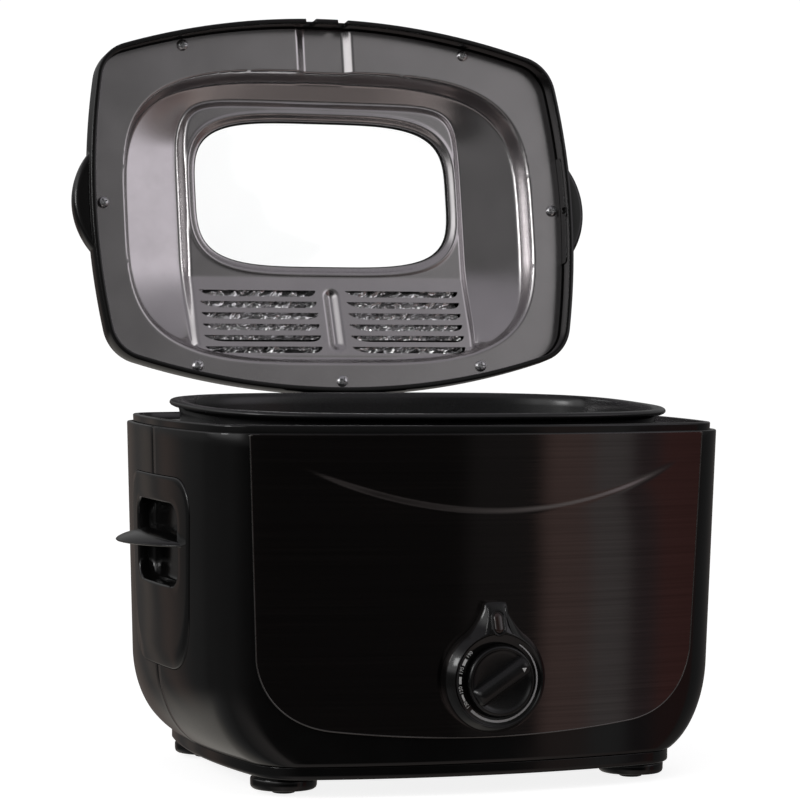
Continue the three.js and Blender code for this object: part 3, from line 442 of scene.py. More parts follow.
def side_face(y, z, out):
    """How far the body's side stands out from its middle, at y and height z."""
    return body_half_width(z) + out - SIDE_ARC + np.sqrt(SIDE_ARC ** 2 - y ** 2)


def skin(rings, looped=False):
    """Vertices and faces over rings of equal length, capped or joined end to end."""
    count = len(rings[0])
    i = np.arange(count)
    j = (i + 1) % count
    faces = []
    for r in range(len(rings) if looped else len(rings) - 1):
        low, high = r * count, ((r + 1) % len(rings)) * count
        faces += np.column_stack([low + i, low + j, high + j, high + i]).tolist()
    if not looped:
        faces.append(i[::-1].tolist())
        faces.append(((len(rings) - 1) * count + i).tolist())
    return np.vstack(rings), faces


def lathe(profile, sides=48):
    """A solid turned about z from (radius, z) points, first and last near the axis."""
    t = np.linspace(0, 2 * math.pi, sides, endpoint=False)
    return skin([np.column_stack([r * np.cos(t), r * np.sin(t), np.full(sides, z)])
                 for r, z in profile])


def prism(outline, low, high):
    return skin([at(outline, low), at(outline, high)])


def rounded(half_width, half_height, radius, x=0.0, y=0.0, steps=6):
    """A rectangle with round corners, counterclockwise."""
    parts = []
    for k, (sx, sy) in enumerate([(1, -1), (1, 1), (-1, 1), (-1, -1)]):
        start = (k - 1) * math.pi / 2
        parts.append(arc(x + sx * (half_width - radius), y + sy * (half_height - radius),
                         radius, start, start + math.pi / 2, steps))
    return np.vstack(parts)


def cushion(half_width, half_height, corner, low, high, edge, steps=4):
    """A prism with round corners whose two end edges are rounded too."""
    rings = []
    for z, sign in ((low, 1), (high, -1)):
        turns = [math.pi / 2 * k / steps for k in range(steps + 1)]
        for t in turns if sign > 0 else turns[::-1]:
            inset = edge * (1 - math.sin(t))
            outline = rounded(half_width - inset, half_height - inset, max(corner - inset, 0.2))
            rings.append(at(outline, z + sign * edge * (1 - math.cos(t))))
    return skin(rings)


def block(x0, x1, y0, y1, z0, z1, edge=0.0, corner=0.5):
    """A box between two corners, with its edges rounded when edge is given."""
    if edge:
        verts, faces = cushion((x1 - x0) / 2, (y1 - y0) / 2, corner, z0, z1, edge)
    else:
        outline = np.array([(x0 - x1, y0 - y1), (x1 - x0, y0 - y1), (x1 - x0, y1 - y0),
                            (x0 - x1, y1 - y0)]) / 2
        verts, faces = prism(outline, z0, z1)
    return verts + ((x0 + x1) / 2, (y0 + y1) / 2, 0), faces


def moved(shape, matrix):
    verts, faces = shape
    return np.array([matrix @ Vector(v) for v in verts]), faces


def tube(path, radius, sides=10, looped=False):
    """A round wire along a path of points, with domed ends when it is open."""
    path = np.array(path, float)
    count = len(path)
    ahead = np.roll(path, -1, 0) - np.roll(path, 1, 0)
    if not looped:
        ahead[0], ahead[-1] = path[1] - path[0], path[-1] - path[-2]
    ahead /= np.linalg.norm(ahead, axis=1)[:, None]
    flat = np.array((0.0, 0.0, 1.0)) if abs(ahead[0][2]) < 0.9 else np.array((1.0, 0.0, 0.0))
    turns = np.linspace(0, 2 * math.pi, sides, endpoint=False)
    radii = np.broadcast_to(radius, count)
    rings = []
    for k in range(count):
        flat = flat - ahead[k] * (flat @ ahead[k])
        flat /= np.linalg.norm(flat)
        other = np.cross(ahead[k], flat)
        rings.append(path[k] + radii[k] * (np.cos(turns)[:, None] * flat
                                           + np.sin(turns)[:, None] * other))
    if not looped:
        first, last = rings[0], rings[-1]
        rings.insert(0, path[0] + (first - path[0]) * 0.6 - ahead[0] * radii[0] * 0.5)
        rings.append(path[-1] + (last - path[-1]) * 0.6 + ahead[-1] * radii[-1] * 0.5)
    return skin(rings, looped)


def joined(shapes):
    verts, faces, offset = [], [], 0
    for v, f in shapes:
        verts.append(v)
        faces += [[offset + i for i in face] for face in f]
        offset += len(v)
    return np.vstack(verts), faces


def make(name, shape, space=BODY):
    verts, faces = shape
    mesh = bpy.data.meshes.new(name)
    mesh.from_pydata(verts.tolist(), [], faces)
    mesh.transform(space)
    made = bpy.data.objects.new(name, mesh)
    scene.collection.objects.link(made)
    return made


def drop(thing):
    mesh = thing.data
    bpy.data.objects.remove(thing)
    bpy.data.meshes.remove(mesh)


def settle(thing):
    """Replaces the object's mesh by what its modifiers make of it."""
    graph = bpy.context.evaluated_depsgraph_get()
    fresh = bpy.data.meshes.new_from_object(thing.evaluated_get(graph))
    thing.modifiers.clear()
    old, thing.data = thing.data, fresh
    bpy.data.meshes.remove(old)


def work(thing, operation, shapes, space=BODY):
    """Cuts, joins or intersects the object with shapes drawn in a space, or with objects."""
    tools = [shape if isinstance(shape, bpy.types.Object) else make("tool", shape, space)
             for shape in shapes]
    for tool in tools:
        step = thing.modifiers.new("step", "BOOLEAN")
        step.operation, step.solver, step.object = operation, "MANIFOLD", tool
    settle(thing)
    for tool in tools:
        drop(tool)
    return thing


def finish(thing, look, body, nodes, sharp=38):
    """Gives a piece its look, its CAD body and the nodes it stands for."""
    thing.data.materials.clear()
    thing.data.materials.append(look)
    thing.data.shade_smooth()
    thing.data.set_sharp_from_angle(angle=math.radians(sharp))
    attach(thing, body)
    if nodes:
        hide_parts(*nodes)
    return thing


# ---- Housing shells -----------------------------------------------------------------


def insert_outline(grow):
    half, top, bottom = INSERT_HALF + grow, INSERT_TOP + grow, INSERT_BOTTOM - grow
    right = np.vstack([
        curve((half - 36, bottom), (half - 6, bottom), (half - 4, bottom + 36), steps=16),
        curve((half, top - 24), (half, top), (half - 24, top), steps=14)])
    return np.vstack([right, (right * (-1, 1))[::-1]])


SIDEWAYS = Matrix(((0, 0, 1, 0), (1, 0, 0, 0), (0, 1, 0, 0), (0, 0, 0, 1)))


def shell_ring(z, inset, sign):
    """One level of a half shell: round the outside, then back along the inside."""
    seam, ease = 0.15, 0.7
    outlines = []
    for shrink in (inset, BODY_WALL):
        loop = plan(body_half_width(z) - shrink, body_half_depth(z) - shrink, BODY_CORNER - shrink)
        half = len(loop) // 2
        outlines.append(loop[:half + 1] * (1, sign))
    outer, inner = outlines
    width = outer[0, 0]
    outer[0], outer[-1] = (width, sign * (seam + ease)), (-width, sign * (seam + ease))
    inner[0, 1] = inner[-1, 1] = sign * seam
    ends = [(width - ease * 0.3, sign * (seam + ease * 0.3)), (width - ease, sign * seam)]
    left = [(-x, y) for x, y in ends]
    ring = np.vstack([outer, left, inner[::-1], ends[::-1]])
    return at(ring if sign > 0 else ring[::-1], z)


def housing_shell(name, sign):
    low, high = BODY_BOTTOM, BODY_TOP
    levels = [(low, 0.8), (low + 0.25, 0.25), (low + 0.8, 0)]
    levels += [(z, 0) for z in np.linspace(low + 2.5, BELLY_TOP, 26)]
    levels += [(z, 0) for z in (90, 112, 140, 170, 200, 220)]
    levels += [(high - 1, 0), (high - 0.35, 0.25), (high, 0.9)]
    shell = make(name, skin([shell_ring(z, inset, sign) for z, inset in levels]))
    cutters = [moved(prism(insert_outline(0.4), *reach), SIDEWAYS)
               for reach in ((150, 220), (-220, -150))]
    if sign < 0:
        for height, radius in ((KNOB_Z, 5), (LENS_Z, 4.6)):
            hole = lathe([(radius, 110), (radius, 160)], 24)
            cutters.append(moved(hole, turned(90) @ shifted(0, height, 0)))
    else:
        hole = lathe([(7.3, -160), (7.3, -110)], 24)
        cutters.append(moved(hole, turned(90) @ shifted(GLAND_X, GLAND_Z, 0)))
    return work(shell, "DIFFERENCE", cutters)


finish(housing_shell("front_housing_shell", -1), GLOSS, "housing", ["front_housing"])
finish(housing_shell("rear_housing_shell", 1), GLOSS, "housing", ["rear_housing"])


def collar():
    width, depth = BODY_HALF_WIDTH - COLLAR_INSET, BODY_HALF_DEPTH - COLLAR_INSET
    corner = BODY_CORNER - COLLAR_INSET

    def collar_rings(*levels):
        return [at(plan(width - inset, depth - inset, corner - inset), z) for inset, z in levels]

    under = DECK_TOP - 2.5
    outside = collar_rings(
        (1.2, COLLAR_FOOT), (0.15, COLLAR_TOP - 1.2), (0.25, COLLAR_TOP - 0.6),
        (0.7, COLLAR_TOP - 0.15), (1.3, COLLAR_TOP), (2.5, COLLAR_TOP), (3.0, COLLAR_TOP - 0.3),
        (3.3, COLLAR_TOP - 0.9), (3.8, DECK_TOP + 0.8), (4.4, DECK_TOP + 0.2), (5.4, DECK_TOP))
    mouth = [at(oval(half_width, half_width - 50), z) for half_width, z in (
        (162.3, DECK_TOP), (161.4, DECK_TOP - 0.3), (161, DECK_TOP - 1), (161, under))]
    return skin(outside + mouth + collar_rings((4.6, under), (4.2, COLLAR_FOOT)), looped=True)


finish(make("top_collar_ring", collar()), GLOSS, "housing", ["top_collar"])


def base():
    width, depth = body_half_width(BODY_BOTTOM) - 1, body_half_depth(BODY_BOTTOM) - 1
    floor, top = BASE_BOTTOM + 3, BODY_BOTTOM - 0.3
    rings = []
    for inset, z in ((40, BASE_BOTTOM + 1.4), (36, BASE_BOTTOM + 0.6), (33, BASE_BOTTOM)):
        rings.append(at(plan(width - inset, depth - inset, 20), z))
    for inset, z in ((1.8, BASE_BOTTOM), (0.9, BASE_BOTTOM + 0.2), (0.3, BASE_BOTTOM + 0.7),
                     (0, BASE_BOTTOM + 1.5), (0, floor + 0.4), (0, top - 0.4), (0.4, top),
                     (BODY_WALL, top), (BODY_WALL, floor + 0.5)):
        rings.append(at(plan(width - inset, depth - inset, BODY_CORNER - 0.9 * inset), z))
    return skin(rings)


base_pan = make("base_pan", base())
vents = [block(x, x + 4, -34, 34, 10, 19) for x in range(-60, 61, 12)]
work(base_pan, "DIFFERENCE", [joined(vents)])
finish(base_pan, GLOSS, "housing", ["base_plate"])


def foot(radius, top):
    return lathe([(0.5, 3.1), (radius - 4.2, 3.1), (radius - 3, 3), (radius - 1.6, 3.2),
                  (radius - 0.6, 4), (radius - 0.1, 5.4), (radius, top - 2.4),
                  (radius - 0.3, top - 1.7), (radius - 1.3, top - 1.4), (radius - 1.3, top),
                  (0.5, top)], 64)


for end in ("front", "rear"):
    for side in ("left", "right"):
        node = f"foot_{end}_{side}"
        spot = middle(node)
        place = shifted(spot.x, spot.y, 0) @ Matrix.Scale(MM, 4)
        stem = make(f"{node}_stem", foot(span(node).x / 2 / MM, BASE_BOTTOM - 0.3), place)
        finish(stem, GLOSS, "housing", [node])
        pad = lathe([(0.4, 0.5), (2, 0), (6.6, 0), (7.3, 0.25), (7.5, 0.8), (7.5, 2.2),
                     (7.2, 2.7), (0.4, 2.7)], 40)
        finish(make(f"foot_pad_{end}_{side}_disc", pad, place), RUBBER, "housing",
               [f"foot_pad_{end}_{side}"])

# ---- Side inserts with their pockets and fins ---------------------------------------


def by_angle(outline, centre, count=288):
    """An outline resampled at even angles round a centre, as radii."""
    turns = np.linspace(-math.pi, math.pi, count, endpoint=False)
    # Straight stretches are cut into short steps first, so that rays meet them exactly.
    fine = np.vstack([a + (b - a) * np.linspace(0, 1, 40, endpoint=False)[:, None]
                      for a, b in zip(outline, np.roll(outline, -1, 0))]) - centre
    angle, radius = np.arctan2(fine[:, 1], fine[:, 0]), np.hypot(fine[:, 0], fine[:, 1])
    order = np.argsort(angle)
    return turns, np.interp(turns, angle[order], radius[order], period=2 * math.pi)


def handle_insert():
    centre = np.array((0.0, (POCKET_TOP + POCKET_BOTTOM) / 2))
    turns, outer = by_angle(insert_outline(0), centre)
    pocket_height = (POCKET_TOP - POCKET_BOTTOM) / 2

    def pocket(grow):
        outline = rounded(POCKET_HALF + grow, pocket_height + grow, 12 + grow, 0, centre[1])
        return by_angle(outline, centre)[1]

    def ring(radius, depth, floor=None):
        y = radius * np.cos(turns)
        z = centre[1] + radius * np.sin(turns)
        x = side_face(y, z, depth) if floor is None else np.full(len(y), floor)
        return np.column_stack([x, y, z])

    back = POCKET_FLOOR
    mouth = pocket(0)
    rings = [ring(pocket(-6), 0, back - 2), ring(pocket(2), 0, back - 2), ring(pocket(2.2), -3.6),
             ring(outer - 1, -3.6), ring(outer, -3.2), ring(outer, 0.1), ring(outer - 0.25, 0.5),
             ring(outer - 0.9, 0.8)]
    for share in (0.25, 0.5, 0.75):
        rings.append(ring(outer * (1 - share) + (mouth + 2.2) * share, 0.8))
    rings += [ring(mouth + 2.2, 0.8), ring(mouth + 1.1, 0.6), ring(mouth + 0.3, -0.1),
              ring(mouth, -1.2), ring(pocket(-0.3), 0, back + 5), ring(pocket(-0.8), 0, back + 2.2),
              ring(pocket(-2.2), 0, back + 0.7), ring(pocket(-4.5), 0, back + 0.1),
              ring(pocket(-8), 0, back), ring(pocket(-20), 0, back)]
    return skin(rings)


def side_fin():
    """A boat-shaped grip: flat and full below, drawn in and rounded towards its top."""
    sagitta = FIN_TIP - 180
    radius = (FIN_HALF ** 2 + sagitta ** 2) / (2 * sagitta)
    centre = FIN_TIP - radius
    y = np.linspace(-FIN_HALF, FIN_HALF, 61)
    heights = [(-3.3, 1.4), (-3.1, 0.7), (-2.6, 0.1)]
    heights += [(z, 22 * ((z + 2.4) / 8) ** 1.7) for z in np.linspace(-2.2, 5.6, 14)]
    rings = []
    for z, inset in heights:
        reach = np.sqrt(np.maximum((radius - inset) ** 2 - y ** 2, 1)) + centre
        bow = np.column_stack([np.maximum(reach, POCKET_FLOOR + 1), y])
        chord = np.column_stack([np.full(61, POCKET_FLOOR - 0.8), y[::-1]])
        rings.append(at(np.vstack([bow, chord]), FIN_Z + z))
    return skin(rings)


for side, turn in (("right", 0), ("left", 180)):
    space = BODY @ turned(turn, "Z")
    insert = make(f"handle_insert_{side}_moulding", handle_insert(), space)
    work(insert, "UNION", [side_fin()], space)
    finish(insert, GLOSS, "housing", [f"handle_insert_{side}"])

# ---- Front panel --------------------------------------------------------------------


def panel_outline(grow=0.0):
    knee, heel = (150.5, 88), (104, 43)
    right = np.vstack([
        curve((0, 37), (52, 37), heel, steps=20)[:-1],
        curve(heel, (133, 47), (148, 66), knee, steps=24)[:-1],
        curve(knee, (PANEL_HALF_TOP, PANEL_TOP - 1.2), steps=14),
        curve((PANEL_HALF_TOP, PANEL_TOP - 1.2), (PANEL_HALF_TOP, PANEL_TOP),
              (PANEL_HALF_TOP - 1.2, PANEL_TOP), steps=4)[1:]])
    whole = np.vstack([right, (right * (-1, 1))[::-1][:-1]])
    if grow:
        ahead = np.roll(whole, -1, 0) - np.roll(whole, 1, 0)
        ahead /= np.linalg.norm(ahead, axis=1)[:, None]
        whole = whole + grow * np.column_stack([ahead[:, 1], -ahead[:, 0]])
    return whole


def crease(x, z):
    """The pressed smile: a quick step up at the curve, easing back below it."""
    below = CREASE_LOW + CREASE_BEND * (x - 4) ** 2 - z
    strength = smooth(0, 1, (CREASE_HALF - np.abs(x - 8)) / CREASE_FADE)
    return CREASE_HEIGHT * strength * smooth(-3, 2.5, below) * np.exp(-np.maximum(below, 0) / 16)


def front_panel():
    xs, zs = np.linspace(-159, 159, 266), np.linspace(30, 232, 170)
    x, z = np.meshgrid(xs, zs)
    front = front_face(x, z, PANEL_PROUD) + crease(x, z)
    behind = front_face(x, z, 0.35)
    sheets = [np.column_stack([x.ravel(), -face.ravel(), z.ravel()]) for face in (front, behind)]
    return grid_solid(*sheets, len(zs), len(xs))


def grid_solid(first, second, rows, columns):
    """A closed slab between two grids of points; the first one's normals face out."""
    index = np.arange(rows * columns).reshape(rows, columns)
    a, b, c, d = index[:-1, :-1], index[:-1, 1:], index[1:, 1:], index[1:, :-1]
    top = np.stack([a, b, c, d], -1).reshape(-1, 4)
    offset = rows * columns
    low = top[:, ::-1] + offset
    rim = np.concatenate([index[0, :-1], index[:-1, -1], index[-1, :0:-1], index[:0:-1, 0]])
    after = np.roll(rim, -1)
    wall = np.column_stack([after, rim, rim + offset, after + offset])
    return np.vstack([first, second]), np.vstack([top, low, wall]).tolist()


panel = make("front_panel_sheet", front_panel())
work(panel, "INTERSECT", [prism(panel_outline(), 100, 170)], FRONT)
holes = [moved(lathe([(radius, 110), (radius, 170)], 24), shifted(0, height, 0))
         for radius, height in ((5, KNOB_Z), (4.6, LENS_Z))]
work(panel, "DIFFERENCE", holes, FRONT)
finish(panel, BRUSHED, "housing", ["front_panel"], 50)


def panel_bead():
    outline = panel_outline(-0.35)
    x, z = outline.T
    y = -(front_face(x, z, PANEL_PROUD) + crease(x, z)) + 0.25
    return tube(np.column_stack([x, y, z]), 0.5, 8, looped=True)


finish(make("front_panel_edge", panel_bead()), EDGE, "housing", [], 60)

# ---- Dial ---------------------------------------------------------------------------


def bezel_outline():
    start = math.radians(56)
    reach, shoulder = BEZEL_RADIUS * math.cos(start), KNOB_Z + BEZEL_RADIUS * math.sin(start)
    circle = arc(0, KNOB_Z, BEZEL_RADIUS, math.pi - start, 2 * math.pi + start, 90)
    half, tip = BEZEL_TIP_HALF, BEZEL_TIP_Z
    flank = curve((reach, shoulder), (half + 2.6, shoulder + 8), (half, tip - 1.6), steps=16)
    cap = curve((half, tip - 1.6), (half - 0.4, tip), (half - 2.4, tip), (0, tip + 0.1), steps=8)
    right = np.vstack([flank[1:], cap[1:]])
    return np.vstack([circle, right, (right * (-1, 1))[::-1][1:]])


BEZEL_TURNS, BEZEL_REACH = by_angle(bezel_outline(), np.array((0.0, KNOB_Z)), 360)


def bezel_slope(x, z):
    """How far the surround stands forward where it falls away from the dial's face."""
    turn, radius = np.arctan2(z - KNOB_Z, x), np.hypot(x, z - KNOB_Z)
    reach = np.interp(turn, BEZEL_TURNS, BEZEL_REACH, period=2 * math.pi)
    fall = np.clip((radius - BEZEL_FACE_RADIUS) / (reach - BEZEL_FACE_RADIUS), 0, 1)
    return BEZEL_FACE - (BEZEL_FACE - BEZEL_RIM) * fall ** 1.15


def bezel():
    def ring(radius, forward=None):
        x, z = radius * np.cos(BEZEL_TURNS), KNOB_Z + radius * np.sin(BEZEL_TURNS)
        if forward is None:
            forward = front_face(x, z, PANEL_PROUD + 0.35)
        elif forward == "slope":
            forward = bezel_slope(x, z)
        return np.column_stack([x, np.broadcast_to(-forward, x.shape), z])

    reach = BEZEL_REACH
    rings = [ring(reach * 0.4), ring(reach - 0.2), ring(reach, BEZEL_RIM - 0.9),
             ring(reach - 0.15, BEZEL_RIM - 0.3)]
    for share in (0.06, 0.2, 0.35, 0.5, 0.65, 0.8, 0.93):
        rings.append(ring(reach * (1 - share) + BEZEL_FACE_RADIUS * share, "slope"))
    for radius, drop_by in ((30, 0), (29.6, 0.1), (29.2, 0.5), (28.7, 0.7), (24, 0.7),
                            (23.4, 0.9), (23, 1.5), (6, 1.5)):
        rings.append(ring(np.full(len(reach), float(radius)), BEZEL_FACE - drop_by))
    return skin(rings)


def bezel_rib(points, width):
    """A low ridge along points given as (x, z) on the surround's sloping face."""
    path = np.array([(x, -(bezel_slope(x, z) + 0.1), z) for x, z in points])
    sizes = width * np.sin(np.linspace(0.35, math.pi - 0.35, len(points)))
    return tube(path, sizes, 8)


surround = make("dial_surround", bezel())
arch = [(x, z) for x, z in rounded(LENS_HALF_WIDTH + 1.2, LENS_HALF_HEIGHT + 1.2, 4.2,
                                   0, LENS_Z, 8)]
frame_path = np.array([(x, -(bezel_slope(x, z) + 0.15), z) for x, z in arch])
work(surround, "UNION", [
    tube(frame_path, 0.7, 8, looped=True),
    bezel_rib(curve((-5.9, 121.5), (-5.8, 112), (-9.4, 104.5), steps=14), 0.8),
    bezel_rib(curve((5.9, 121.5), (5.8, 112), (9.4, 104.5), steps=14), 0.8)])
finish(surround, GLOSS, "housing", ["knob_bezel"], 50)


def lens():
    """A tall domed window in the tip, with its stem running back through the panel."""
    head = []
    for inset, forward in ((1.6, -3), (0.1, -3), (0.1, -0.2), (0.3, 0.35), (0.9, 0.8), (2.2, 1.05)):
        outline = rounded(LENS_HALF_WIDTH - inset, LENS_HALF_HEIGHT - inset,
                          LENS_HALF_WIDTH - inset - 0.02, 0, LENS_Z, 8)
        slope = bezel_slope(outline[:, 0], outline[:, 1])
        head.append(np.column_stack([outline, slope + forward]))
    stem = moved(lathe([(LENS_STEM - 0.4, 129.8), (LENS_STEM, 130.2), (LENS_STEM, 145)], 24),
                 shifted(0, LENS_Z, 0))
    return skin(head), stem


lens_head, lens_stem = lens()
window = work(make("indicator_lens_dome", lens_head, FRONT), "UNION", [lens_stem], FRONT)
finish(window, LENS, "housing", ["indicator_lens"], 60)

DIAL_FACE = BEZEL_FACE - 0.7


def dial_band(start, end, width_start, width_end):
    """A printed arc whose width grows from one end to the other, in degrees."""
    turns = np.radians(np.linspace(start, end, 90))
    widths = np.linspace(width_start, width_end, 90) / 2
    low = (DIAL_RADIUS - widths)[:, None] * np.column_stack([np.cos(turns), np.sin(turns)])
    high = (DIAL_RADIUS + widths)[:, None] * np.column_stack([np.cos(turns), np.sin(turns)])
    outline = np.vstack([high, low[::-1]]) + (0, KNOB_Z)
    if end < start:
        outline = outline[::-1]
    return strip_prism(outline, 90)


def strip_prism(outline, count):
    """A thin printed layer over a long strip, outlined out and back."""
    low, high = at(outline, DIAL_FACE - 0.03), at(outline, DIAL_FACE + 0.1)
    total = 2 * count
    faces = []
    for k in range(count - 1):
        a, b = k, total - 1 - k
        faces.append([total + a, total + a + 1, total + b - 1, total + b])
        faces.append([b, b - 1, a + 1, a])
    around = np.arange(total)
    after = (around + 1) % total
    faces += np.column_stack([around, after, after + total, around + total]).tolist()
    return np.vstack([low, high]), faces


def dial_text(text, angle, size=3.3):
    """Digits standing on the dial ring, read from the dial's centre outwards."""
    data = bpy.data.curves.new("digits", "FONT")
    data.body, data.size, data.extrude = text, size, 0.05
    data.align_x, data.align_y, data.resolution_u = "CENTER", "CENTER", 3
    writing = bpy.data.objects.new("digits", data)
    scene.collection.objects.link(writing)
    graph = bpy.context.evaluated_depsgraph_get()
    mesh = bpy.data.meshes.new_from_object(writing.evaluated_get(graph))
    bpy.data.objects.remove(writing)
    bpy.data.curves.remove(data)
    turn = math.radians(angle)
    mesh.transform(Matrix.Translation((
        DIAL_RADIUS * math.cos(turn), KNOB_Z + DIAL_RADIUS * math.sin(turn), DIAL_FACE + 0.06))
        @ turned(angle - 90, "Z"))
    verts = np.array([v.co for v in mesh.vertices])
    faces = [list(p.vertices) for p in mesh.polygons]
    bpy.data.meshes.remove(mesh)
    return verts, faces


digits = [dial_text(text, angle) for text, angle in
          (("190", 140), ("170", 165), ("150", 192), ("130", 215))]
dashes = [dial_band(angle - 5, angle + 5, width, width) for angle, width in
          ((152.5, 1.9), (178.5, 1.6), (203.5, 1.3))]
finish(make("dial_numbers", joined(digits), FRONT), WHITE_INK, "housing", [])
finish(make("dial_dashes", joined(dashes), FRONT), WHITE_INK, "housing", [])
finish(make("dial_scale_arc", dial_band(225, 418, 1.7, 0.7), FRONT), SILVER_INK, "housing", [])


def knob():
    """The dial drawn upright about its own axis, front towards +z."""
    r = KNOB_RADIUS
    disc = lathe([(1, 0.1), (r - 0.5, 0.1), (r, 0.6), (r, 3.6), (r - 0.3, 4.4), (r - 1.0, 4.9),
                  (r - 1.7, 5.0), (r - 2.3, 4.7), (r - 3.2, 3.9), (r - 5, 3.4), (1, 3.3)], 96)
    rings = []
    for height, half, width in ((2.2, r - 1.2, 7.6), (4.6, r - 1.3, 6.8), (7.0, r - 1.9, 5.5),
                                (8.6, r - 2.8, 4.2), (9.4, r - 3.8, 3.0), (9.75, r - 5, 2.0),
                                (9.88, r - 6.2, 1.0)):
        waist = rounded(half, width, min(width - 0.1, 4), steps=8)
        waist[:, 1] *= 1 - 0.2 * np.cos(np.clip(waist[:, 0] / half, -1, 1) * math.pi / 2) ** 2
        rings.append(at(waist, height))
    return disc, skin(rings)


knob_centre = middle("thermostat_knob")
KNOB_SPACE = (shifted(knob_centre.x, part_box("thermostat_knob")[1].y, KNOB_Z * MM)
              @ Matrix.Scale(MM, 4) @ turned(90) @ turned(KNOB_TURN, "Z"))
disc, bar = knob()
dial = work(make("thermostat_dial", disc, KNOB_SPACE), "UNION", [bar], KNOB_SPACE)
finish(dial, KNOB_BLACK, "knob", ["thermostat_knob"], 45)
point = math.radians(-90 - KNOB_TURN)
ahead = np.array((math.cos(point), math.sin(point)))
beside = np.array((-ahead[1], ahead[0]))
arrow = np.array([ahead * 1.7, beside * 1.5 - ahead, -beside * 1.5 - ahead]) + (15.1, -0.7)
mark = skin([at(arrow, 8.6), at(arrow, 9.94)])
finish(make("dial_pointer", mark, KNOB_SPACE), WHITE_INK, "knob", [])

# ---- Lid ----------------------------------------------------------------------------


def lid_ring(inset, z):
    return at(plan(LID_HALF_WIDTH - inset, LID_HALF_DEPTH - inset, max(LID_CORNER - inset, 14)), z)


def window_ring(grow, z):
    return at(oval(WINDOW_HALF_WIDTH + grow, WINDOW_HALF_DEPTH + grow, WINDOW_SQUARENESS,
                   WINDOW_Y), z)


def eased(points, steps):
    """A smooth run through points, by cubic segments."""
    points = np.array(points, float)
    ends = np.vstack([2 * points[0] - points[1], points, 2 * points[-1] - points[-2]])
    out = []
    for k in range(1, len(ends) - 2):
        p0, p1, p2, p3 = ends[k - 1:k + 3]
        for t in np.linspace(0, 1, steps, endpoint=False):
            out.append(0.5 * (2 * p1 + (p2 - p0) * t + (2 * p0 - 5 * p1 + 4 * p2 - p3) * t ** 2
                              + (3 * p1 - p0 - 3 * p2 + p3) * t ** 3))
    return out + [points[-1]]


def lid_cover():
    inside = [(70, 28.4), (46, 26.9), (30, 24.5), (15.5, 12), (15, 1.7), (3.2, 1.6),
              (LIP_WIDTH, -LIP_DROP + 0.9), (LIP_WIDTH - 0.4, -LIP_DROP + 0.25)]
    lip = [(LIP_WIDTH - 1.2, -LIP_DROP), (1.2, -LIP_DROP), (0.4, -LIP_DROP + 0.3), (0, -LIP_DROP + 1)]
    outside = eased([(0, 0), (0.4, 3), (2.5, 9), (9, 17.8), (22, 25.1), (44, 28.95), (70, 30.4)], 4)
    return skin([lid_ring(inset, z) for inset, z in inside + lip + list(outside)])


def lid_ear(side):
    """A finger ear: a wide disc most of which lies inside the lid."""
    radius = (EAR_CHORD ** 2 + EAR_REACH ** 2) / (2 * EAR_REACH)
    tall = 2 * EAR_HEIGHT
    profile = [(radius - inset, z - EAR_HEIGHT) for inset, z in (
        (3.2, -1), (1.5, -0.8), (0.5, -0.2), (0, 0.9), (0, 0.55 * tall), (0.6, 0.8 * tall),
        (1.8, tall - 0.4), (3.4, tall))]
    return moved(lathe(profile, 160), shifted(side * (LID_HALF_WIDTH + EAR_REACH - radius), 0, 0))


cover = make("lid_cover_shell", lid_cover(), LID)
core = skin([lid_ring(4.4, -20), lid_ring(4.4, 30)])
ears = [work(make("ear", lid_ear(side), LID), "DIFFERENCE", [core], LID) for side in (-1, 1)]
work(cover, "UNION", ears)
cuts = [skin([window_ring(2, 20), window_ring(4, 40)]),
        block(-100.3, 100.3, FILTER_Y - 24.3, FILTER_Y + 24.3, 15, 40)]
for x in NOTCHES:
    cuts.append(block(x - NOTCH_WIDTH / 2, x + NOTCH_WIDTH / 2, -150, -130, -20, NOTCH_TOP))
cuts.append(block(-RECESS_OUTER - 1, RECESS_OUTER + 1, -133.2, -112, -1, RECESS_DEPTH + 2.2))
for side in (-1, 1):
    cuts.append(moved(lathe([(2.7, -9), (2.7, -3)], 20), shifted(side * 178.4, 0, 0)))
work(cover, "DIFFERENCE", cuts, LID)
finish(cover, GLOSS, "lid", ["lid_cover"])

# Each curve of the pressed liner is the set of points where a gauge equals one.


def gauge(x, y, half_width, front, rear, exponent):
    centre = (front + rear) / 2
    half = (rear - front) / 2
    total = np.abs(x / half_width) ** exponent + np.abs((y - centre) / half) ** exponent
    return total ** (1 / exponent)


def inside_by(field, step_x, step_y):
    """Distance inside the curve where the field is one, by its slope."""
    slope_y, slope_x = np.gradient(field, step_y, step_x)
    return (1 - field) / np.maximum(np.hypot(slope_x, slope_y), 1e-4)


def pressed(depths, y):
    """A pressing's depth at y, from its full depth to its shallow end by the hinge."""
    deep, shallow = depths
    return deep + (shallow - deep) * np.clip((y - SLOPE_FRONT) / (SLOPE_REAR - SLOPE_FRONT), 0, 1)


def bent(depths, y):
    """The same depths joined by a long gentle bend."""
    deep, shallow = depths
    return deep + (shallow - deep) * smooth(SLOPE_FRONT - 15, SLOPE_REAR + 5, y)


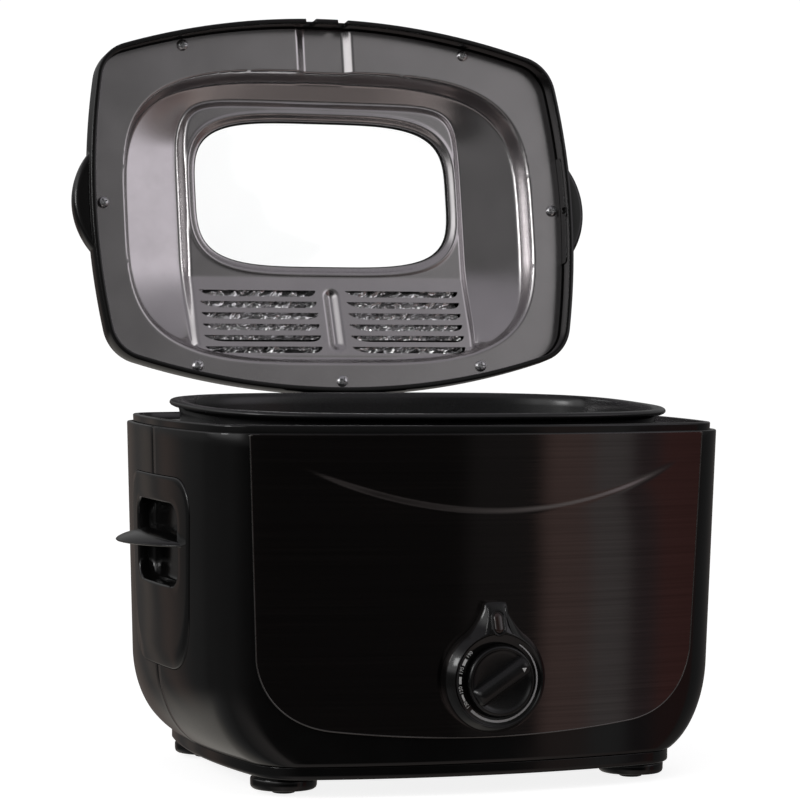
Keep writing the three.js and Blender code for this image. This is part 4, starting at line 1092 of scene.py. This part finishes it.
def liner_depth(x, y, step_x, step_y):
    """How far the pressed sheet lies above the flange's lower face, lid closed."""
    in_dish = inside_by(gauge(x, y, DISH_HALF, DISH_FRONT, DISH_REAR, DISH_SQUARENESS),
                        step_x, step_y)
    in_frame = inside_by(gauge(x, y, FRAME_HALF, FRAME_FRONT, FRAME_REAR,
                               np.where(y < 18, 8, 14)), step_x, step_y)
    across = in_dish - 4.7
    share = np.clip(across / np.maximum(across + np.maximum(-in_frame, 0), 0.5), 0, 1)
    rim, trench, raised = bent(RIM_DEPTH, y), bent(TRENCH_DEPTH, y), pressed(FRAME_DEPTH, y)
    trench = trench - TRENCH_RISE * (1 - smooth(RISE_END - 40, RISE_END, y))
    edge = smooth(-0.6, 5.2, in_dish)
    depth = edge * (rim + (trench - rim) * share)
    depth = depth + (edge * raised - depth) * smooth(-0.4, 5.9, in_frame)
    lip = inside_by(gauge(x, y, WINDOW_HALF_WIDTH, WINDOW_Y - WINDOW_HALF_DEPTH,
                          WINDOW_Y + WINDOW_HALF_DEPTH, WINDOW_SQUARENESS), step_x, step_y)
    near = y < WINDOW_Y + WINDOW_HALF_DEPTH + 9
    depth = depth - 0.7 * np.exp(-((lip + 5.6) / 1.1) ** 2) * near
    depth = depth + (WINDOW_DEPTH - FRAME_DEPTH[0]) * smooth(-5, -0.4, lip) * near
    bead = np.hypot(x, np.maximum(np.abs(y - BEAD_Y) - BEAD_REACH, 0)) / BEAD_HALF
    depth = depth + BEAD_DEPTH * (0.6 * np.clip(1 - bead, 0, 1) + 0.4 * smooth(0, 0.9, 1 - bead))
    wall = np.clip((RECESS_OUTER - np.abs(x)) / (RECESS_OUTER - RECESS_INNER), 0, 1)
    return depth + RECESS_DEPTH * (0.75 * wall + 0.25 * smooth(0, 1, wall)) * (
        1 - smooth(-0.5, 6, in_dish)) * (y < 0)


def slot_outline(side, row):
    """One louvre opening: straight above, swept up into the ends below."""
    x0, x1 = side * SLOT_MIDDLE - SLOT_HALF, side * SLOT_MIDDLE + SLOT_HALF
    top, low = row - 2.2, row + 2.7
    return np.vstack([
        curve((x0, top), (x1, top), steps=24),
        curve((x1, top + 0.5), (x1 - 1, low), (x1 - 9, low), steps=8),
        curve((x0 + 16, low), (x0 + 4, low - 0.3), (x0, top + 0.5), steps=8)])


def lid_liner():
    """The pressed sheet over a rectangle a little larger than the lid's inside."""
    xs, ys = np.linspace(-181, 181, 330), np.linspace(-134.5, 134.5, 254)
    x, y = np.meshgrid(xs, ys)
    depth = liner_depth(x, y, xs[1] - xs[0], ys[1] - ys[0])
    under = np.column_stack([x.ravel(), y.ravel(), depth.ravel()])
    over = under + (0, 0, LINER_SHEET)
    return grid_solid(over, under, len(ys), len(xs))


liner = make("lid_liner_sheet", lid_liner(), LID)
work(liner, "INTERSECT", [prism(lid_ring(LINER_EDGE, 0)[:, :2], -5, 45)], LID)
slots = [prism(slot_outline(side, row), -5, 45) for side in (-1, 1) for row in SLOT_ROWS]
work(liner, "DIFFERENCE", [prism(window_ring(0, 0)[:, :2], -5, 45), joined(slots)], LID)
finish(liner, LINER, "lid", ["lid_liner"], 55)

SCREW_HEAD = [(0.5, -0.3), (3.9, -0.3), (4.1, -0.6), (4.05, -1.2), (3.6, -1.9), (2.7, -2.4),
              (1.3, -2.65), (0.3, -2.7)]
SCREW_SPOTS = ("front_left", "front_right", "side_left", "side_right", "rear_left", "rear_middle",
               "rear_right")
for spot in SCREW_SPOTS:
    node = f"lid_screw_{spot}"
    centre = LID.inverted() @ middle(node)
    place = LID @ shifted(centre.x, centre.y, 0) @ turned(27 * len(spot), "Z")
    head = make(f"{node}_head", lathe(SCREW_HEAD[::-1], 40), place)
    cross = [block(-2.6, 2.6, -0.5, 0.5, -4, -1.1), block(-0.5, 0.5, -2.6, 2.6, -4, -1.05)]
    work(head, "DIFFERENCE", cross, place)
    work(head, "UNION", [lathe([(1.6, -0.5), (1.6, 7.6), (1.2, 8)], 20)], place)
    finish(head, SCREW, "lid", [node], 45)



def window_gasket(low):
    section = [(-1, 0.4), (-0.6, 0), (6.6, 0), (7, 0.4), (7, 1.2), (6.6, 1.6), (-0.6, 1.6), (-1, 1.2)]
    return skin([window_ring(grow, low + z) for grow, z in section], looped=True)


def window_pane(low, high):
    edge = [(6.5, low), (7, low + 0.4), (7, high - 0.4), (6.5, high)]
    return skin([window_ring(grow, z) for grow, z in edge])


gasket_low = WINDOW_DEPTH + LINER_SHEET + 0.3
finish(make("window_gasket_ring", window_gasket(gasket_low), LID), RUBBER, "lid",
       ["window_gasket"])
finish(make("window_pane", window_pane(gasket_low + 1.9, 27.5), LID), GLASS, "lid",
       ["window_glass"])

# ---- Filter -------------------------------------------------------------------------


def crumpled(x, y, under, over):
    """A slab of crumpled foil: folds below, clear of the groove between the louvres."""
    folds = np.array([
        3.2 * abs(noise.noise((px * 0.075, py * 0.14, 3.1)))
        + 3.2 * abs(noise.noise(((px + py) * 0.15, (px - py) * 0.06, 7.7)))
        + 0.9 * abs(noise.noise(((px + py) * 0.42, (px - py) * 0.16, 1.3)))
        for px, py in zip(x.ravel(), y.ravel())]).reshape(x.shape)
    low = under + np.clip(folds, 0, np.maximum(over - under - 0.8, 0))
    low = np.minimum(low + (BEAD_DEPTH + 0.3) * smooth(-10, -7, -np.abs(x)), over - 0.8)
    sheets = [np.column_stack([x.ravel(), y.ravel(), np.broadcast_to(z, x.shape).ravel()])
              for z in (over, low)]
    return grid_solid(*sheets, *x.shape)


def filter_pad():
    """The metal foil pad behind the louvres, drawn in the lid's space."""
    x, y = np.meshgrid(np.linspace(-FOIL_HALF, FOIL_HALF, 280), np.linspace(50.5, 95.5, 76))
    under = pressed(FRAME_DEPTH, y) + LINER_SHEET + 0.5
    return crumpled(x, y, under, np.full(x.shape, FOIL_TOP))


def foil_strip():
    """A folded edge of foil held behind the last row of louvres."""
    x, y = np.meshgrid(np.linspace(-FOIL_HALF, FOIL_HALF, 280), np.linspace(98, 106.5, 20))
    under = pressed(FRAME_DEPTH, y) + LINER_SHEET + 0.5 + 1.8 * smooth(102.5, 106, y)
    return crumpled(x, y, under, under + 5)


finish(make("grease_filter_pad", filter_pad(), LID), FOIL, "filter", ["grease_filter"],
       30)
finish(make("grease_foil_strip", foil_strip(), LID), FOIL, "lid", [], 30)


def filter_cover():
    """The lift-off cover's plate and walls, and the hollow and slots to cut from them."""
    plate = cushion(FILTER_HALF_WIDTH + 5, FILTER_HALF_DEPTH + 4, 8, FILTER_TOP - 2.4, FILTER_TOP, 0.9)
    walls = cushion(FILTER_HALF_WIDTH, FILTER_HALF_DEPTH, 1, FOIL_TOP + 0.5, FILTER_TOP - 1, 0.3)
    inside = block(-FOIL_HALF, FOIL_HALF, -22, 22, 20, FILTER_TOP - 2.2)
    slots = [block(x0, x1, row * 8.4 - 1.5, row * 8.4 + 1.5, 20, 40)
             for row in range(-2, 3) for x0, x1 in ((-80, -6), (6, 80))]
    return plate, walls, inside, slots


plate, walls, inside, slots = filter_cover()
FILTER = LID @ shifted(0, FILTER_Y, 0)
hatch = work(make("filter_hatch", plate, FILTER), "UNION", [walls], FILTER)
work(hatch, "DIFFERENCE", [inside, joined(slots)], FILTER)
finish(hatch, SATIN, "filter", ["filter_cover"])

# ---- Hinge --------------------------------------------------------------------------


def along_hinge(profile, sides, z=HINGE_Z):
    """A turned solid laid along the hinge's axis."""
    return moved(lathe(profile, sides), shifted(0, HINGE_Y, z) @ turned(90, "Y"))


def barrel(low, high):
    """A knuckle along the hinge's axis with eased ends."""
    return along_hinge([(KNUCKLE - 0.6, low), (KNUCKLE, low + 0.6), (KNUCKLE, high - 0.6),
                        (KNUCKLE - 0.6, high)], 48)


PIN_BORE = [(PIN + 0.08, -60), (PIN + 0.08, 60)]

bracket = make("hinge_bracket_moulding", barrel(LUG_HALF + 0.5, BRACKET_HALF))
web = block(-BRACKET_HALF, BRACKET_HALF, 138.9, HINGE_Y + 4.5, 204, 236.5, 1.2, 2)
arms = [block(x0, x1, 138.9, HINGE_Y + 4.5, 230, HINGE_Z - 1, 0.3)
        for x0, x1 in ((-BRACKET_HALF, -LUG_HALF - 0.5), (LUG_HALF + 0.5, BRACKET_HALF))]
work(bracket, "UNION", [barrel(-BRACKET_HALF, -LUG_HALF - 0.5), web, *arms])
behind = skin([at(plan(body_half_width(z) + 0.3, body_half_depth(z) + 0.3, BODY_CORNER + 0.3), z)
               for z in (190, BODY_TOP + 0.3)])
gap = block(-LUG_HALF - 0.4, LUG_HALF + 0.4, 120, 170, 233, 260)
work(bracket, "DIFFERENCE", [along_hinge(PIN_BORE, 32), behind, gap])
finish(bracket, SATIN, "housing", ["hinge_bracket"])

pin = along_hinge([(PIN - 0.5, -45), (PIN, -44.5), (PIN, 44.5), (PIN - 0.5, 45)], 32)
finish(make("hinge_pin_rod", pin), BRIGHT, "housing", ["hinge_pin"])

lug = make("lid_lug_moulding", barrel(-LUG_HALF, LUG_HALF), LID @ shifted(0, 0, -FLANGE_Z))
work(lug, "UNION", [block(-LUG_HALF, LUG_HALF, 132.6, 145.6, HINGE_Z - FLANGE_Z, 9, 0.6, 1)], LID)
outside = [(0, -LIP_DROP - 0.3), (0, 1), (2.2, 9), (8.7, 18), (22, 25.8)]
shell = skin([lid_ring(inset - 0.3, z) for inset, z in outside])
work(lug, "DIFFERENCE", [shell, along_hinge(PIN_BORE, 32, HINGE_Z - FLANGE_Z)], LID)
finish(lug, SATIN, "lid", ["lid_hinge_lug"])

# ---- Cord gland ---------------------------------------------------------------------


def cord_gland():
    """A ribbed bush with a bore for the cord, drawn about its own axis."""
    ribs = [(3.7, -14), (6.6, -14), (7, -13.4), (7, 0.6), (9.6, 0.7), (10, 1.1), (9.9, 2.2),
            (9.3, 2.6), (9.3, 3.2), (9.7, 3.6), (9.3, 4.8), (8.8, 5.1), (8.8, 5.6), (9, 6),
            (8, 6.9), (4.4, 7), (3.6, 6.2)]
    t = np.linspace(0, 2 * math.pi, 48, endpoint=False)
    return skin([np.column_stack([r * np.cos(t), r * np.sin(t), np.full(48, -z)])
                 for r, z in ribs[::-1]], looped=True)


GLAND = BODY @ shifted(GLAND_X, body_half_depth(GLAND_Z), GLAND_Z) @ turned(90)
finish(make("cord_gland_bush", cord_gland(), GLAND), RUBBER, "housing", ["cord_gland"],
       50)

# ---- Bowl ---------------------------------------------------------------------------


def bowl_ring(inset, z):
    return at(oval(BOWL_HALF_WIDTH - inset, BOWL_HALF_DEPTH - inset), z)


def bowl():
    base = [(60, 0.6), (34, 0), (28, 0.5), (22.5, 2.4), (18.2, 5.6), (15.4, 10), (14, 16)]
    rim = [(6.5, -9), (6, -6.2), (5, -5.2), (2.4, -4.6), (0.9, -3.8), (0.1, -2.8), (0.1, -1.8),
           (0.7, -0.8), (1.8, -0.2), (3.4, 0), (5, -0.2), (6.4, -0.9), (7.4, -2.2), (8.2, -4.6),
           (8.6, -8), (12, -60)]
    inside = [(16, 17), (17.6, 11), (20.4, 6.2), (25, 3.2), (32, 2), (60, 2.4)]
    base, inside = ([(inset, z - BOWL_DEPTH) for inset, z in part] for part in (base, inside))
    return skin([bowl_ring(inset, z) for inset, z in base + rim + inside])


finish(make("bowl_pressing", bowl(), BOWL), NONSTICK, "bowl", ["bowl"], 60)

# ---- Basket -------------------------------------------------------------------------


def basket_profile(t):
    """(inset, z) down the basket's wall, t from 0 at the rim to 1 at the floor's edge."""
    if t < 0.8:
        drop_by = BASKET_FLOOR + 17 - BASKET_TOP
        return BASKET_INSET + 1 + 4.5 * t / 0.8, BASKET_TOP - 3 + drop_by * t / 0.8
    turn = (t - 0.8) / 0.2 * math.pi / 2
    return BASKET_INSET + 5.5 + 13 * (1 - math.cos(turn)), BASKET_FLOOR + 14 - 13 * math.sin(turn)


def on_oval(inset, coordinate, along_x):
    """The positive other coordinate of the basket's oval at this one."""
    a, b = BOWL_HALF_WIDTH - inset, BOWL_HALF_DEPTH - inset
    if not along_x:
        a, b = b, a
    share = max(0.0, 1 - abs(coordinate / a) ** BOWL_SQUARENESS)
    return b * share ** (1 / BOWL_SQUARENESS)


def basket_wires():
    wires = []
    for along_x, half in ((True, BOWL_HALF_WIDTH), (False, BOWL_HALF_DEPTH)):
        count = int((half - BASKET_INSET - 8) // WIRE_PITCH)
        for k in range(-count, count + 1):
            across = k * WIRE_PITCH
            wall = [(on_oval(inset, across, along_x), z) for inset, z in
                    (basket_profile(t) for t in np.linspace(0, 1, 15))]
            shift = 0.0 if along_x else 0.9
            path = [(-reach, z - shift) for reach, z in wall]
            path += [(reach, z - shift) for reach, z in wall[::-1]]
            path = [(across, y, z) if along_x else (y, across, z) for y, z in path]
            wires.append(tube(path, WIRE_RADIUS, 5))
    for t in (0.12, 0.26, 0.4, 0.54, 0.68, 0.8, 0.92):
        inset, z = basket_profile(t)
        wires.append(tube(bowl_ring(inset - 0.7, z)[::2], WIRE_RADIUS, 5, looped=True))
    return wires


def basket():
    rim = tube(bowl_ring(BASKET_INSET + 1.4, BASKET_TOP - 2), 2, 10, looped=True)
    band = tube(bowl_ring(BASKET_INSET + 6, BASKET_FLOOR + 18), 1.1, 6, looped=True)
    return joined([rim, band, *basket_wires()])


finish(make("basket_wirework", basket(), BOWL), BRIGHT, "basket", ["basket"], 60)
yoke = block(-22, 22, -93.6, -90.6, -30, -17, 0.7, 1.4)
hooks = [tube([(x, -90.6, -22), (x, -86.5, -22)], 2.6, 12) for x in (-18, 18)]
finish(make("handle_bracket_plate", joined([yoke, *hooks]), BOWL), BRIGHT, "basket",
       ["handle_bracket"])

WIRE_STOPS = [(18, 1, 0), (18, -4, 13), (17, -14, 27), (14, -32, 31), (12.3, -51.5, 32)]
for side, sign in (("left", -1), ("right", 1)):
    route = eased([(sign * x, y, z) for x, y, z in WIRE_STOPS], 8)
    finish(make(f"handle_wire_{side}_rod", tube(route, 1.9, 14), HANDLE), BRIGHT,
           "basket_handle", [f"handle_wire_{side}"], 60)


def grip():
    rings = []
    for share in np.linspace(0, 1, 33):
        y = -52 - 86 * share
        end = min(share, 1 - share)
        swell = math.sqrt(max(0.02, 1 - max(0, 1 - end / 0.07) ** 2))
        half = (15.2 + 1.7 * math.sin(share * math.pi)) * swell
        height = (5.6 + 1.3 * math.sin(share * math.pi)) * swell
        outline = rounded(half, height, min(half, height) * 0.86, 0, 32, 7)
        rings.append(np.column_stack([outline[:, 0], np.full(len(outline), y), outline[:, 1]]))
    return skin(rings)


finish(make("handle_grip_moulding", grip(), HANDLE), GRIP, "basket_handle", ["handle_grip"],
       50)

# ---- Pieces inside, kept from the CAD frame -------------------------------------------


def dress(node, look, edge):
    """Gives a CAD node its material, and eased edges where it is a plain block."""
    thing = frame["nodes"][node]
    thing.data.materials.clear()
    thing.data.materials.append(look)
    if edge:
        ease = thing.modifiers.new("ease", "BEVEL")
        ease.width, ease.segments, ease.limit_method = edge * MM, 3, "ANGLE"
        ease.angle_limit, ease.harden_normals = math.radians(50), True


for node, look, edge in (("inner_well", LINER, 0), ("heating_plate", CAST, 0.8),
                         ("heating_element", BRIGHT, 0), ("thermostat_body", CAST, 1.0),
                         ("thermal_cutout", CAST, 0.8), ("terminal_block", CERAMIC, 1.0),
                         ("thermostat_shaft", BRIGHT, 0)):
    dress(node, look, edge)

# ---- Floor and light ----------------------------------------------------------------


FLOOR_REACH = 3200


def make_floor():
    floor = make("studio_floor", lathe([(FLOOR_REACH, -4), (FLOOR_REACH, 0), (1500, 0), (5, 0)], 96))
    look = Look("studio_floor_white", (0.45, 0.45, 0.445), 0.9)
    look.roughness(look.grain(12), 0.85, 0.95)
    look.shader.inputs["Emission Color"].default_value = (1, 1, 1, 1)
    look.shader.inputs["Emission Strength"].default_value = 0.86
    floor.data.materials.append(look.material)
    floor.visible_glossy = False
    floor.visible_diffuse = False


BRIGHTEST = 1.25            # what full white in the room's colour bands stands for

# Colour bands of the room round the fryer: degrees from straight ahead, to the right
# positive, and the light seen there, low down, above, and on the floor.
LOW_BAND = ((-180, (0.13, 0.11, 0.1)), (-174, 0.08), (-168, (0.18, 0.155, 0.14)), (-163, 0.085),
            (-158, (0.18, 0.14, 0.125)), (-150, 0.08), (-140, 0.06), (-110, 0.1), (-60, 0.1), (-35, 0.05),
            (-14, 0.018), (17, 0.02), (19, 0.045), (27, 0.045), (30, 0.035), (31.5, (0.24, 0.18, 0.165)),
            (39, (0.22, 0.17, 0.16)), (40.5, 0.22), (46, 0.22), (48, (0.09, 0.075, 0.08)),
            (51.5, (0.1, 0.085, 0.09)), (53, (0.17, 0.085, 0.08)), (62, (0.15, 0.075, 0.07)),
            (68, 0.11), (90, 0.11), (180, (0.13, 0.11, 0.1)))
MIDDLE_BAND = ((-180, 0.12), (-110, 0.13), (-60, 0.17), (-10, 0.15), (19, 0.13), (28, 0.12),
               (31.5, (0.24, 0.18, 0.165)), (39, (0.22, 0.17, 0.16)), (46, 0.22),
               (52, (0.13, 0.1, 0.1)), (68, 0.11), (180, 0.12))
HIGH_BAND = ((-180, 0.22), (-140, 0.4), (-115, 1.25), (-42, 1.25), (-34, 0.7), (-24, 0.22),
             (-12, 0.14), (10, 0.07), (17, 0.11), (25, 0.3), (34, 0.55), (42, (0.95, 0.91, 0.97)),
             (56, (0.95, 0.91, 0.97)), (72, 0.3), (120, 0.28), (180, 0.22))
FLOOR_BAND = ((-180, (0.42, 0.4, 0.37)), (-145, (0.42, 0.4, 0.37)), (-110, 0.25), (-80, 0.15),
              (-25, (0.4, 0.37, 0.36)), (10, (0.3, 0.27, 0.26)), (35, (0.36, 0.31, 0.29)),
              (60, (0.2, 0.17, 0.16)), (120, 0.1), (180, (0.42, 0.4, 0.37)))
SKY = (0.3, 0.29, 0.31)


def make_world():
    """White to the eye; a dim banded room to everything that reflects it."""
    world = bpy.data.worlds.new("studio")
    scene.world = world
    world.use_nodes = True
    tree = world.node_tree
    tree.nodes.clear()
    node = partial(add_node, tree)

    def band(turn, stops):
        ramp = node("ShaderNodeValToRGB", {0: turn}).color_ramp
        while len(ramp.elements) > 1:
            ramp.elements.remove(ramp.elements[0])
        for k, (angle, light) in enumerate(stops):
            place = (angle + 180) / 360
            stop = ramp.elements[0] if k == 0 else ramp.elements.new(place)
            stop.position = place
            color = light if isinstance(light, tuple) else (light,) * 3
            stop.color = (*(c / BRIGHTEST for c in color), 1)
        return tree.nodes[-1].outputs[0]

    def rising(value, low, high):
        return node("ShaderNodeMapRange", {
            "Value": value, "From Min": math.sin(math.radians(low)),
            "From Max": math.sin(math.radians(high))}, interpolation_type="SMOOTHSTEP").outputs[0]

    def blend(share, first, second):
        return node("ShaderNodeMix", {0: share, 6: first, 7: second}, data_type="RGBA").outputs[2]

    place = node("ShaderNodeTexCoord").outputs["Generated"]
    axes = node("ShaderNodeSeparateXYZ", {0: place})
    x, y, z = axes.outputs
    forward = node("ShaderNodeMath", {0: y, 1: -1.0}, operation="MULTIPLY").outputs[0]
    angle = node("ShaderNodeMath", {0: x, 1: forward}, operation="ARCTAN2").outputs[0]
    turn = node("ShaderNodeMapRange", {
        "Value": angle, "From Min": -math.pi, "From Max": math.pi}).outputs[0]
    around = blend(rising(z, -1, 4), band(turn, LOW_BAND), band(turn, MIDDLE_BAND))
    around = blend(rising(z, 4, 14), around, band(turn, HIGH_BAND))
    around = blend(rising(z, 30, 50), around, (*(c / BRIGHTEST for c in SKY), 1))
    around = blend(rising(z, -12, -24), around, band(turn, FLOOR_BAND))
    room = node("ShaderNodeBackground", {0: around, 1: BRIGHTEST})
    white = node("ShaderNodeBackground", {0: (1, 1, 1, 1), 1: 1.05})
    path = node("ShaderNodeLightPath")
    seen = node("ShaderNodeMath", {0: path.outputs["Is Camera Ray"],
                                   1: path.outputs["Is Transmission Ray"]}, operation="MAXIMUM")
    choose = node("ShaderNodeMixShader", {
        0: seen.outputs[0], 1: room.outputs[0], 2: white.outputs[0]})
    node("ShaderNodeOutputWorld", {0: choose.outputs[0]})


def softbox(name, position, target, size, watts, mirrored=True):
    data = bpy.data.lights.new(name, "AREA")
    data.shape, data.size, data.size_y = "RECTANGLE", *size
    data.energy = watts
    lamp = bpy.data.objects.new(name, data)
    scene.collection.objects.link(lamp)
    lamp.location = position
    aim = Vector(target) - Vector(position)
    lamp.rotation_euler = aim.to_track_quat("-Z", "Y").to_euler()
    lamp.visible_camera = False
    lamp.visible_glossy = mirrored


make_floor()
make_world()
softbox("top_softbox", (0.2, -0.9, 2.3), (0, 0, 0.25), (1.8, 1.4), 9, mirrored=False)
softbox("left_lamp", (-1.76, -0.45, 0.95), (0, 0, 0.35), (0.55, 0.45), 5)
scene.view_settings.view_transform = "Standard"
